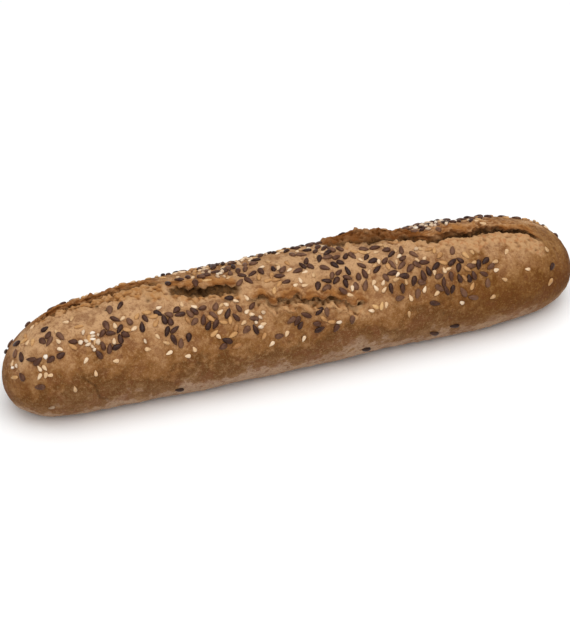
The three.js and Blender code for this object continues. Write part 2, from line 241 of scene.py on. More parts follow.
@dataclass(frozen=True)
class Crack:
    """A short fine crack in the skin, from one place to another."""

    from_x: float
    from_angle: float
    to_x: float
    to_angle: float

    half_width = 0.45

    def at(self, x: Array, angle: Array) -> Array:
        """How deep in the crack a place is.

        Args:
            x: Places along the loaf.
            angle: Degrees from the crown, positive to the front.

        Returns:
            Shares of its full depth.
        """
        reach = LoafForm.mean_radius
        turn = math.radians(self.to_angle - self.from_angle)
        run = np.array([self.to_x - self.from_x, turn * reach])
        aside = np.stack([x - self.from_x, np.radians(angle - self.from_angle) * reach], axis=-1)
        share = np.clip(aside @ run / (run @ run), 0, 1)
        away = np.linalg.norm(aside - share[..., None] * run, axis=-1)
        return np.exp(-((away / self.half_width) ** 2))


@dataclass(frozen=True)
class Lump:
    """A slow wave in the hand-shaped dough."""

    height: float
    along: float
    round: float
    phase: float


@dataclass(frozen=True)
class Split:
    """One torn score. Its lip runs from end to end, with a flap behind it and crumb before it.

    The lip turns from its first angle by a middle one to its last, later the larger bend is, and
    sways by some millimetres. The flap, ear wide, rises by lift and leans over by hang. In front
    of the lip the crust drops into a hollow of some width and depth: wall is 0 where that is
    deepest under the lip, and 1 where the flap stands up as a wall and it is deepest in front. The
    apron is the torn crumb, which swells by puff. Pairs are sizes at the start and at the end.
    rag, crumb, gold and dark are how ragged its lip, how coarse and how golden its crumb and how dark
    the painted shade in its hollow is.
    """

    start: float
    end: float
    lip: tuple[float, float, float]
    bend: float
    sway: float
    ear: float
    lift: float
    hang: float
    hollow: tuple[float, float]
    depth: float
    wall: tuple[float, float]
    apron: tuple[float, float]
    puff: float
    rag: float
    crumb: float
    gold: float
    dark: float

    gape = 0.7
    swings = ((0.6, 0.37, 0.4), (0.4, 0.83, 2.2))
    lip_rag = (Wave(1.0, 6.1, 42), Wave(0.8, 2.9, 40), Wave(0.5, 1.5, 41))
    lift_rag = (Wave(0.5, 4.1, 43), Wave(0.3, 1.8, 44))
    hang_rag = (Wave(0.7, 3.7, 45),)
    depth_rag = (Wave(0.4, 5.3, 46),)
    bare_openness = 0.25
    bare_behind = -1.2
    bare_apron = 0.86

    def share(self, x: Array) -> Array:
        """How far along the split x is."""
        return np.clip((x - self.start) / (self.end - self.start), 0.0, 1.0)

    def size(self, pair: tuple[float, float], x: Array) -> Array:
        """A size that changes from the split's start to its end."""
        return pair[0] + (pair[1] - pair[0]) * self.share(x)

    def openness(self, x: Array) -> Array:
        """How far open it is, 0 at its ends."""
        share = self.share(x)
        return np.sin(np.pi * share) ** self.gape * (share > 0) * (share < 1)

    def rag_line(self, x: Array, waves: tuple[Wave, ...]) -> Array:
        """Unevenness along the split that is the same all the way across."""
        places = np.stack([x, np.full(x.shape, self.start), np.zeros(x.shape)], axis=-1)
        return sum(wave.at(places) for wave in waves)

    def lip_angle(self, x: Array, fine: bool) -> Array:
        """Angle of the lip. fine adds the small rag that only the looks have.

        Args:
            x: Places along the loaf.
            fine: Whether it is for the looks.

        Returns:
            Degrees from the crown.
        """
        first, middle, last = self.lip
        turn = 2 * self.share(x) - 1
        bent = np.abs(turn) ** self.bend
        turned = middle + np.where(turn < 0, first - middle, last - middle) * bent
        swing = sum(share * np.sin(along * x + phase) for share, along, phase in self.swings)
        moved = self.sway * swing
        if fine:
            moved = moved + self.rag * self.rag_line(x, self.lip_rag)
        return turned + np.degrees(moved / LoafForm.mean_radius)

    def across(self, x: Array, angle: Array, fine: bool = False) -> Array:
        """Distance in front of the lip, on the unbroken crust."""
        return np.radians(angle - self.lip_angle(x, fine)) * LoafForm.mean_radius

    def is_torn(self, x: float, angle: float) -> bool:
        """Whether a place lies on torn crumb or in the hollow, where no topping fell.

        Args:
            x: Its place along the loaf.
            angle: Its degrees from the crown.

        Returns:
            True where it is bare.
        """
        place = float(self.across(x, angle))
        front = self.bare_apron * float(self.size(self.apron, x))
        is_open = float(self.openness(x)) > self.bare_openness
        return is_open and self.bare_behind < place < front


class Fold:
    """Section across a full split.

    It runs from the ear's back (-1) by the lip (0) to the hollow's front (1). Each share is a
    pair: for a hollow deepest under the lip, and for a wall.
    """

    knots = np.array([-1.0, -0.6, -0.25, -0.08, 0.0, 0.1, 0.22, 0.4, 0.62, 0.82, 0.93, 1.0])
    ear = (
        np.array([-1.0, -0.6, -0.22, 0, 0, 0, 0, 0, 0, 0, 0, 0]),
        np.array([-1.0, -0.6, -0.24, -0.06, 0, 0, 0, 0, 0, 0, 0, 0]),
    )
    lift = (
        np.array([0, 0.45, 0.92, 1.0, 0.62, 0.12, 0, 0, 0, 0, 0, 0]),
        np.array([0, 0.4, 0.85, 1.0, 0.9, 0.65, 0.4, 0.15, 0, 0, 0, 0]),
    )
    hang = (
        np.array([0, 0, 0, 0.55, 1.0, 0.7, -0.25, -0.1, 0, 0, 0, 0]),
        np.array([0, 0, 0, 0.3, 0.5, 0.4, 0.2, 0.1, 0, 0, 0, 0]),
    )
    hollow = (
        np.array([0, 0, 0, 0, 0, 0, 0, 0.1, 0.45, 0.75, 0.9, 1.0]),
        np.array([0, 0, 0, 0, 0, 0.06, 0.16, 0.38, 0.62, 0.8, 0.92, 1.0]),
    )
    depth = (
        np.array([0, 0, 0, 0, 0, 0, -0.5, -1.0, -0.8, -0.3, -0.1, 0]),
        np.array([0, 0, 0, 0, 0, -0.05, -0.15, -0.45, -0.9, -1.0, -0.45, 0]),
    )

    @classmethod
    def across(cls, size: str, wall: Array, place: Array) -> Array:
        """One size's share across the section, part way from under the lip to a wall."""
        under, standing = getattr(cls, size)
        return cls.through(under, place) * (1 - wall) + cls.through(standing, place) * wall

    @classmethod
    def through(cls, values: Array, place: Array) -> Array:
        """Smooth curve through the knots, with Catmull-Rom slopes.

        Args:
            values: The size at each knot.
            place: Where in the section.

        Returns:
            The size at each place.
        """
        knots = cls.knots
        count = len(knots)
        before = np.maximum(np.arange(count) - 1, 0)
        after = np.minimum(np.arange(count) + 1, count - 1)
        slopes = (values[after] - values[before]) / (knots[after] - knots[before])
        piece = np.clip(np.searchsorted(knots, place, side="left") - 1, 0, count - 2)
        step = knots[piece + 1] - knots[piece]
        u = (place - knots[piece]) / step
        blend = u * u * (3 - 2 * u)
        slope_part = slopes[piece] * u * (1 - u) ** 2 + slopes[piece + 1] * u * u * (u - 1)
        return values[piece] + (values[piece + 1] - values[piece]) * blend + step * slope_part


@dataclass(frozen=True)
class LoafForm:
    """The dough's form: a round loaf with square-shouldered ends, lumps, saddles and splits."""

    length: float = 285.0
    width: float = 60.0
    height: float = 48.5
    widest_height: float = 21.5
    belly_depth: float = 27.0
    foot_rounding: float = 3.0
    cap_squareness: float = 8.0
    droop: Ends = Ends(5.0, 4.5)
    lean: Ends = Ends(3.0, 2.0)
    narrowing: Ends = Ends(0.09, 0.11)
    lowering: Ends = Ends(0.04, 0.02)
    lumps: tuple[Lump, ...] = (
        Lump(0.3, 2.3, 1, 0.6),
        Lump(0.22, 4.3, 2, 2.1),
        Lump(0.14, 8.1, 3, 4.0),
    )
    saddles: tuple[Spot, ...] = (
        Spot(-97, -22, 13, 22, 1.2),
        Spot(62, -30, 8, 26, 1.8),
        Spot(-22, 38, 9, 16, 0.9),
        Spot(40, 52, 13, 14, 0.8),
    )
    splits: tuple[Split, ...] = (
        Split(
            start=-128, end=-60, lip=(-24, -25, -20), bend=1, sway=0.4,
            ear=8, lift=1.6, hang=0.5, hollow=(3, 4), depth=1.5, wall=(0.8, 0.4), apron=(5, 19),
            puff=0.6, rag=0.8, crumb=0.9, gold=0.85, dark=0.6,
        ),
        Split(
            start=-62, end=-28, lip=(-5.5, 3.5, 9.5), bend=1, sway=0.6,
            ear=11, lift=1.5, hang=1.4, hollow=(7.5, 7.5), depth=4.6, wall=(0.1, 0.1), apron=(12, 10),
            puff=0.5, rag=0.7, crumb=0.75, gold=0.7, dark=0.8,
        ),
        Split(
            start=-28, end=30, lip=(27, 39, 56), bend=1.2, sway=1.8,
            ear=8, lift=1.4, hang=0.8, hollow=(6, 5), depth=2.0, wall=(0.1, 0.1), apron=(8, 7),
            puff=0.9, rag=1.2, crumb=0.7, gold=0.3, dark=0.4,
        ),
        Split(
            start=18, end=66, lip=(-41, -31, -9), bend=1.2, sway=0.6,
            ear=8, lift=3.0, hang=0.8, hollow=(13, 9), depth=2.8, wall=(0.8, 0.9), apron=(18, 14),
            puff=0.8, rag=1.0, crumb=0.9, gold=0.5, dark=0.75,
        ),
        Split(
            start=56, end=125, lip=(-11, 1, 24), bend=3, sway=0.5,
            ear=14, lift=2.3, hang=1.8, hollow=(5, 2.8), depth=3.0, wall=(0.9, 0.1), apron=(8, 18),
            puff=0.9, rag=1.2, crumb=0.45, gold=0.2, dark=0.95,
        ),
    )
    holes: tuple[Spot, ...] = (
        Spot(-20, 31, 3.4, 1.8, 0.7),
        Spot(3, 45, 1.2, 1.6, 0.8),
        Spot(12, 46, 2.0, 1.8, 0.8),
        Spot(25, 57, 2.6, 1.6, 0.8),
        Spot(42, -13, 5.5, 8.0, 1.6),
        Spot(-95, -4, 1.0, 2.0, 0.9),
        Spot(-92, 6, 0.8, 1.6, 0.7),
        Spot(-104, -12, 1.6, 1.6, 0.8),
        Spot(-72, 8, 1.2, 1.6, 0.7),
        Spot(66, 86, 0.8, 1.4, 0.6),
        Spot(-12, 79, 0.7, 1.2, 0.5),
        Spot(-56, 82, 1.0, 2.0, 0.5),
    )
    # Painted highlights: lighter patches of skin where the lower flank catches the light.
    painted_highlight: tuple[Spot, ...] = (
        Spot(40, 60, 20, 9, 1.0),
        Spot(-70, 40, 20, 14, 0.4),
        Spot(-110, 20, 16, 14, 0.4),
    )
    cracks: tuple[Crack, ...] = (
        Crack(-110, 69, -105, 81),
        Crack(-105, 81, -103, 99),
        Crack(-103, 99, -99, 104),
    )

    mean_radius = 29.0
    crack_depth = 0.6
    thinnest = 1e-3

    @property
    def half_length(self) -> float:
        """Distance from the middle to each tip."""
        return self.length / 2

    def section(self, x: Array) -> dict[str, Array]:
        """Cross-section sizes of the unbroken loaf.

        Args:
            x: Places along the loaf.

        Returns:
            The cap's share, half width, crown and belly heights, and the middle's y and z.
        """
        share = np.minimum(1.0, np.abs(x) / self.half_length)
        cap = np.sqrt(np.maximum(0.0, 1 - share**self.cap_squareness))
        narrow = 1 - self.narrowing.at(x) * share**2
        low = 1 - self.lowering.at(x) * share**2
        return {
            "cap": cap,
            "half_width": self.width / 2 * narrow * cap,
            "crown": (self.height - self.widest_height) * low * cap,
            "belly": self.belly_depth * low * cap,
            "middle_y": -self.lean.at(x) * share**4,
            "middle_z": self.widest_height - self.droop.at(x) * share**5,
        }

    def set_down(self, z: Array) -> Array:
        """Rolls heights near or below the table into the flat base.

        Args:
            z: Heights above the table.

        Returns:
            The heights, none below zero.
        """
        foot = self.foot_rounding
        rolled = foot * ((z + foot) / (2 * foot)) ** 2
        return np.where(z >= foot, z, np.where(z <= -foot, 0.0, rolled))

    def unevenness(self, x: Array, angle: Array) -> Array:
        """How far the slow lumps and the saddles move the crust outwards.

        Args:
            x: Places along the loaf.
            angle: Degrees from the crown, positive to the front.

        Returns:
            Distances in millimetres.
        """
        turn = x / self.half_length * np.pi
        out = np.zeros(np.broadcast(x, angle).shape)
        for lump in self.lumps:
            swing = lump.along * turn + lump.round * np.radians(angle) + lump.phase
            out = out + lump.height * np.sin(swing)
        for saddle in self.saddles:
            out = out - saddle.at(x, angle)
        return out * np.sqrt(self.section(x)["cap"])

    def skin(self, x: Array, angle: Array, rise: Array) -> Array:
        """A point round the loaf, rise above its smooth skin.

        Args:
            x: Places along the loaf.
            angle: Degrees from the crown, positive to the front.
            rise: Distance out from the skin.

        Returns:
            The points, three numbers each.
        """
        section = self.section(x)
        side = np.sin(np.radians(angle))
        up = np.cos(np.radians(angle))
        tall = np.where(up > 0, section["crown"], section["belly"])
        out_side = -side / np.maximum(section["half_width"], self.thinnest)
        out_up = up / np.maximum(tall, self.thinnest)
        size = np.hypot(out_side, out_up)
        y = section["middle_y"] - section["half_width"] * side + rise * out_side / size
        z = section["middle_z"] + tall * up + rise * out_up / size
        return np.stack([np.broadcast_to(x, y.shape), y, self.set_down(z)], axis=-1)

    def crust(self, x: Array, angle: Array, fine: bool = False) -> Array:
        """A point of the crust with its splits folded open.

        Args:
            x: Places along the loaf.
            angle: Degrees from the crown, positive to the front.
            fine: Adds the small rag, the holes and the cracks, which only the looks have.

        Returns:
            The points, three numbers each.
        """
        x, angle = np.broadcast_arrays(np.asarray(x, float), np.asarray(angle, float))
        sideways = np.zeros(x.shape)
        rise = self.unevenness(x, angle)
        for split in self.splits:
            across = split.across(x, angle, fine)
            hollow = split.size(split.hollow, x)
            place = np.where(across < 0, across / split.ear, across / hollow)
            near = split.openness(x) * (np.abs(place) < 1)
            place = np.clip(place, -1, 1)
            wall = split.size(split.wall, x)
            sizes = ("ear", "lift", "hang", "hollow", "depth")
            share = {size: Fold.across(size, wall, place) for size in sizes}
            lift, hang, depth = split.lift, split.hang, split.depth
            if fine:
                lift = lift * (1 + split.rag_line(x, split.lift_rag))
                hang = hang * (1 + split.rag_line(x, split.hang_rag))
                depth = depth * (1 + split.rag_line(x, split.depth_rag))
            moved = split.ear * share["ear"] + hang * share["hang"] + hollow * share["hollow"]
            raised = lift * share["lift"] + depth * share["depth"]
            swell = (across - hollow) / (split.size(split.apron, x) - hollow)
            swell = np.sin(np.pi * np.clip(swell, 0, 1)) * split.openness(x) * split.puff
            sideways = sideways + near * (moved - across)
            rise = rise + near * raised + swell
        if fine:
            rise = rise - sum(hole.at(x, angle) for hole in self.holes)
            rise = rise - self.crack_depth * sum(crack.at(x, angle) for crack in self.cracks)
        return self.skin(x, angle + np.degrees(sideways / self.mean_radius), rise)

    def is_torn(self, x: float, angle: float) -> bool:
        """Whether a place lies in any split."""
        return any(split.is_torn(x, angle) for split in self.splits)


# Meshes


def mesh_object(name: str, points: Array, faces: list[tuple[int, ...]]) -> bpy.types.Object:
    """A smooth mesh object at the origin.

    Args:
        name: The piece's name.
        points: Its corners in millimetres.
        faces: Corner numbers of each face, outward by the right-hand rule.

    Returns:
        The object, linked to the scene.
    """
    mesh = bpy.data.meshes.new(name)
    mesh.from_pydata((points * MM).tolist(), [], faces)
    mesh.polygons.foreach_set("use_smooth", np.ones(len(mesh.polygons), dtype=bool))
    mesh.update()
    obj = bpy.data.objects.new(name, mesh)
    bpy.context.scene.collection.objects.link(obj)
    return obj


def set_attribute(mesh: bpy.types.Mesh, name: str, values: Array) -> None:
    """Stores one number for each corner point under a name that the materials read."""
    layer = mesh.attributes.new(name, "FLOAT", "POINT")
    layer.data.foreach_set("value", np.asarray(values, dtype=np.float32).ravel())


@dataclass
class Crust:
    """The baked dough: its mesh, and the marks on it that its finish reads."""

    form: LoafForm
    rows: int = 478
    columns: int = 206
    fold_crowding: float = 3.2
    fold_reach: float = 9.0
    fold_middle: float = 2.0
    crowding_ease: float = 14.0
    base_sparseness: Fade = Fade(118, 140, 0.0, 0.45)
    outline_steps: int = 4000
    turn_steps: int = 1440
    opened: Fade = Fade(0.0, 0.45)
    tongues: tuple[Wave, ...] = (Wave(2.4, 6.0, 50), Wave(1.3, 2.2, 51))
    apron_share: float = 0.88
    apron_edge: Fade = Fade(-2.2, 2.2)
    torn_edge: Fade = Fade(-0.5, 0.3)
    hollow_back: tuple[float, float] = (0.04, 0.42)
    hollow_front: tuple[float, float] = (0.86, 0.06)
    hollow_back_edge: tuple[float, float] = (0.06, 0.12)
    hollow_front_edge: tuple[float, float] = (0.2, 0.12)
    wall_back: Fade = Fade(-0.08, 0.06)
    wall_front: Fade = Fade(0.5, 0.8)
    lip_width: float = 1.3
    lip_front: float = 0.5
    ear_back: Fade = Fade(-1.0, -0.1)
    ear_gold: float = 0.6
    ear_crumb: float = 0.5
    layering: Wave = Wave(1.0, 1.2, 60)
    layer_stretch: float = 0.3
    layer_edge: Fade = Fade(0.02, 0.3)
    hole_shade: float = 1.2
    crack_shade: float = 0.55
    blisters: tuple[Wave, ...] = (Wave(0.32, 9.0, 1), Wave(0.20, 3.4, 2), Wave(0.14, 1.8, 3))
    bubbles: tuple[Wave, ...] = (Wave(2.6, 4.6, 4), Wave(2.0, 2.6, 9))
    bubble_floor: float = 1.0
    crags: Wave = Wave(0.8, 1.5, 5)
    skin_pits: Pits = Pits(7.0, 6, 0.5, Fade(0.06, 0.2))
    pores: Pits = Pits(3.6, 7, 1.3, Fade(0.15, 0.38))
    lip_crumbs: Wave = Wave(0.8, 1.9, 8)
    layer_depth: float = 0.45
    height_span: tuple[float, float] = (0.7, 1.3)
    tip_fade: Fade = Fade(0.1, 0.6)
    base_fade: Fade = Fade(0.1, 2.5)
    marks: dict[str, Array] = field(default_factory=dict)

    def row_places(self) -> Array:
        """Places of the rings, evenly spaced along the outline seen from above.

        Returns:
            Places along the loaf, the tips left out.
        """
        places = -self.form.half_length * np.cos(np.linspace(0, np.pi, self.outline_steps + 1))
        widths = self.form.section(places)["half_width"]
        run = np.concatenate([[0], np.cumsum(np.hypot(np.diff(places), np.diff(widths)))])
        wanted = run[-1] * np.arange(1, self.rows) / self.rows
        return np.interp(wanted, run, places)

    def crowding(self, split: Split, x: float) -> float:
        """How strongly columns crowd to a split: it eases in before the split opens.

        Args:
            split: The split.
            x: A place along the loaf.

        Returns:
            A share, 1 where it is well open.
        """
        wide = self.crowding_ease
        opening = ease(split.start - wide, split.start + wide, np.array(x))
        closing = ease(split.end - wide, split.end + wide, np.array(x))
        return float(opening * (1 - closing))

    def column_angles(self, x: float) -> Array:
        """Angles of one ring's corners, closer together across the splits and sparse below.

        Args:
            x: The ring's place along the loaf.

        Returns:
            Degrees from the crown, rising.
        """
        edges = np.linspace(-180, 180, self.turn_steps + 1)
        middles = (edges[1:] + edges[:-1]) / 2
        weight = 1 - self.base_sparseness.of(np.abs(middles))
        for split in self.form.splits:
            across = split.across(np.array(x), middles) - self.fold_middle
            nearness = np.exp(-((across / self.fold_reach) ** 2))
            weight = weight + self.fold_crowding * self.crowding(split, x) * nearness
        run = np.concatenate([[0], np.cumsum(weight)])
        return np.interp(run[-1] * np.arange(self.columns) / self.columns, run, edges)

    def hollow_share(self, place: Array, upright: Array) -> Array:
        """How deep in the hollow a place across it lies, from 0 to 1, which sets its painted shade.

        Args:
            place: Places across it, 0 at the lip and 1 at its front.
            upright: 0 where it is deepest under the lip, 1 where the flap is a wall.

        Returns:
            The shares.
        """
        back = self.hollow_back[0] + self.hollow_back[1] * upright
        front = self.hollow_front[0] + self.hollow_front[1] * upright
        within = ease(back - self.hollow_back_edge[0], back + self.hollow_back_edge[1], place)
        beyond = ease(front - self.hollow_front_edge[0], front + self.hollow_front_edge[1], place)
        return within * (1 - beyond)

    def split_marks(self, split: Split, x: Array, angle: Array) -> dict[str, Array]:
        """What one split makes of each point.

        Args:
            split: The split.
            x: The points' places along the loaf.
            angle: Their degrees from the crown.

        Returns:
            Each mark of torn crust by name, from 0 to 1.
        """
        across = split.across(x, angle, fine=True)
        upright = split.size(split.wall, x)
        place = across / split.size(split.hollow, x)
        opened = self.opened.of(split.openness(x))
        tongue = split.rag_line(x, self.tongues)
        beyond = across - self.apron_share * split.size(split.apron, x) - tongue
        torn = opened * self.torn_edge.of(across) * (1 - self.apron_edge.of(beyond))
        wall = opened * upright * self.wall_back.of(place) * (1 - self.wall_front.of(place))
        ear = opened * self.ear_back.of(across / split.ear) * (across < 0)
        sheets = [self.layer_stretch * x, across, np.full(x.shape, split.start)]
        layers = self.layering.at(np.stack(sheets, axis=-1))
        return {
            "torn": torn,
            # Painted shade in the hollow in front of the lip, as strong as the split's dark.
            "hollow": opened * split.dark * self.hollow_share(place, upright),
            "lip": opened * np.exp(-((across / self.lip_width) ** 2)) * (across < self.lip_front),
            "ear": ear,
            "wall": wall,
            "streak": np.maximum(ear, wall) * self.layer_edge.of(layers),
            "gold": np.maximum(split.gold * torn, ear**2 * self.ear_gold),
            "crumb": np.maximum(split.crumb * torn, ear**2 * self.ear_crumb),
        }

    def mark(self, x: Array, angle: Array) -> None:
        """Works out what kind of crust each point is: torn, hollow, lip, ear and so on, and where
        painted shade and painted highlights go.

        Args:
            x: Places along the loaf.
            angle: Degrees from the crown, positive to the front.
        """
        form = self.form
        marks: dict[str, Array] = {}
        for split in form.splits:
            for name, value in self.split_marks(split, x, angle).items():
                marks[name] = np.maximum(marks.get(name, 0.0), value)
        # Painted shade in the holes and cracks, added to the hollow mark.
        dark = [self.hole_shade * hole.at(x, angle) for hole in form.holes]
        dark += [self.crack_shade * crack.at(x, angle) for crack in form.cracks]
        for share in dark:
            marks["hollow"] = np.maximum(marks["hollow"], np.minimum(1, share))
        # pale: where the painted highlights make the skin lighter.
        marks["pale"] = np.clip(sum(spot.at(x, angle) for spot in form.painted_highlight), 0, 1)
        marks["round"] = angle
        marks["along"] = x
        self.marks = marks

    def relief(self, points: Array) -> Array:
        """Fine unevenness of the surface, outward in millimetres.

        Args:
            points: Places on the crust, marked before.

        Returns:
            One height a point.
        """
        marks = self.marks
        quiet = 1 - np.clip(marks["torn"], 0, 1)
        skin = sum(wave.at(points) for wave in self.blisters) + self.skin_pits.at(points)
        bubbles = sum(np.abs(wave.at(points)) for wave in self.bubbles)
        crumb = bubbles + self.crags.at(points) - self.bubble_floor + self.pores.at(points)
        lips = marks["lip"] * self.lip_crumbs.at(points)
        total = quiet * skin + marks["crumb"] * crumb + lips - self.layer_depth * marks["streak"]
        span = self.height_span[0] + self.height_span[1] * marks["crumb"]
        # height is kept so that the finish can paint shade into pits and light onto crests.
        marks["height"] = np.clip(0.5 + total / span, 0, 1)
        return total

    def build(self) -> bpy.types.Object:
        """Makes the closed crust, rings of points between two tips.

        Returns:
            The crust.
        """
        form = self.form
        places = self.row_places()
        x = np.repeat(places[:, None], self.columns, axis=1)
        angle = np.stack([self.column_angles(place) for place in places])
        self.mark(x, angle)
        points = form.crust(x, angle, fine=True)
        ahead = np.gradient(points, axis=0)
        around = np.roll(points, -1, axis=1) - np.roll(points, 1, axis=1)
        outward = np.cross(around, ahead)
        outward /= np.linalg.norm(outward, axis=-1, keepdims=True)
        faded = self.tip_fade.of(form.section(x)["cap"]) * self.base_fade.of(points[..., 2])
        points = points + outward * (self.relief(points) * faded)[..., None]
        points[..., 2] = np.maximum(points[..., 2], 0)
        tips = form.crust(np.array([-form.half_length, form.half_length]), np.zeros(2))
        every = np.concatenate([tips[:1], points.reshape(-1, 3), tips[1:]])
        obj = mesh_object("crust", every, self.faces())
        for name, value in self.marks.items():
            flat = value.ravel()
            set_attribute(obj.data, name, np.concatenate([flat[:1], flat, flat[-1:]]))
        return obj

    def faces(self) -> list[tuple[int, ...]]:
        """Corner numbers of the rings' faces and of the fans at the two tips.

        Returns:
            Corner numbers of each face, outward by the right-hand rule.
        """
        rings = self.rows - 1
        row = np.arange(rings - 1)[:, None]
        column = np.arange(self.columns)[None, :]
        following = (column + 1) % self.columns
        a = 1 + row * self.columns + column
        b = 1 + row * self.columns + following
        quads = np.stack([a, b, b + self.columns, a + self.columns], axis=-1).reshape(-1, 4)
        faces = [tuple(quad) for quad in quads.tolist()]
        last = 1 + rings * self.columns
        for i in range(self.columns):
            j = (i + 1) % self.columns
            faces.append((0, 1 + j, 1 + i))
            faces.append((last, last - self.columns + i, last - self.columns + j))
        return faces


# Toppings


class Dice:
    """A fixed sequence of numbers from 0 to 1."""

    factor = 1664525
    shift = 1013904223
    span = 2**32

    def __init__(self, start: int) -> None:
        """Starts the sequence."""
        self.state = start

    def roll(self) -> float:
        """The next number."""
        self.state = (self.state * self.factor + self.shift) % self.span
        return self.state / self.span


@dataclass(frozen=True)
class Kind:
    """A kind of topping.

    Its true size, how many the loaf carries, how many lie astray, how often one falls beside the
    one before, and how close two may come.
    """

    name: str
    length: float
    width: float
    thickness: float
    count: int
    stray: float
    company: float
    clearance: float


class Topping(Enum):
    """What the baker strewed."""

    LINSEED = Kind("linseed", 5.0, 2.7, 1.7, 320, 0.008, 0.4, 0.78)
    GOLDEN = Kind("golden_linseed", 4.3, 2.2, 1.4, 100, 0.015, 0.2, 0.7)
    SESAME = Kind("sesame", 3.2, 1.9, 1.2, 190, 0.04, 0.3, 0.7)
    GRAIN = Kind("grain", 2.2, 1.9, 1.6, 60, 0.004, 0.5, 0.6)


@dataclass
class Seed:
    """One seed lying on the unrolled crust."""

    kind: Kind
    x: float
    angle: float
    turn: float
    across: float

    def spine(self) -> list[tuple[float, float]]:
        """Three points down its middle.

        Returns:
            Each as its place along and across the unrolled crust.
        """
        half = (self.kind.length - self.kind.width) / 2
        ahead, aside = math.cos(self.turn), math.sin(self.turn)
        return [(self.x + d * ahead, self.across + d * aside) for d in (-half, 0, half)]

    def is_clear_of(self, other: Seed) -> bool:
        """Whether the two keep clear of each other.

        Args:
            other: The other seed.

        Returns:
            True where they don't touch, or overlap no more than they may.
        """
        clearance = min(self.kind.clearance, other.kind.clearance)
        room = clearance * (self.kind.width + other.kind.width) / 2
        if math.hypot(self.x - other.x, self.across - other.across) > room + self.kind.length:
            return True
        ours, theirs = self.spine(), other.spine()
        return all(math.hypot(p[0] - q[0], p[1] - q[1]) >= room for p in ours for q in theirs)


@dataclass(frozen=True)
class Single:
    """A seed that landed by itself low on the side, at a place of its own."""

    topping: Topping
    x: float
    angle: float
    turn: float


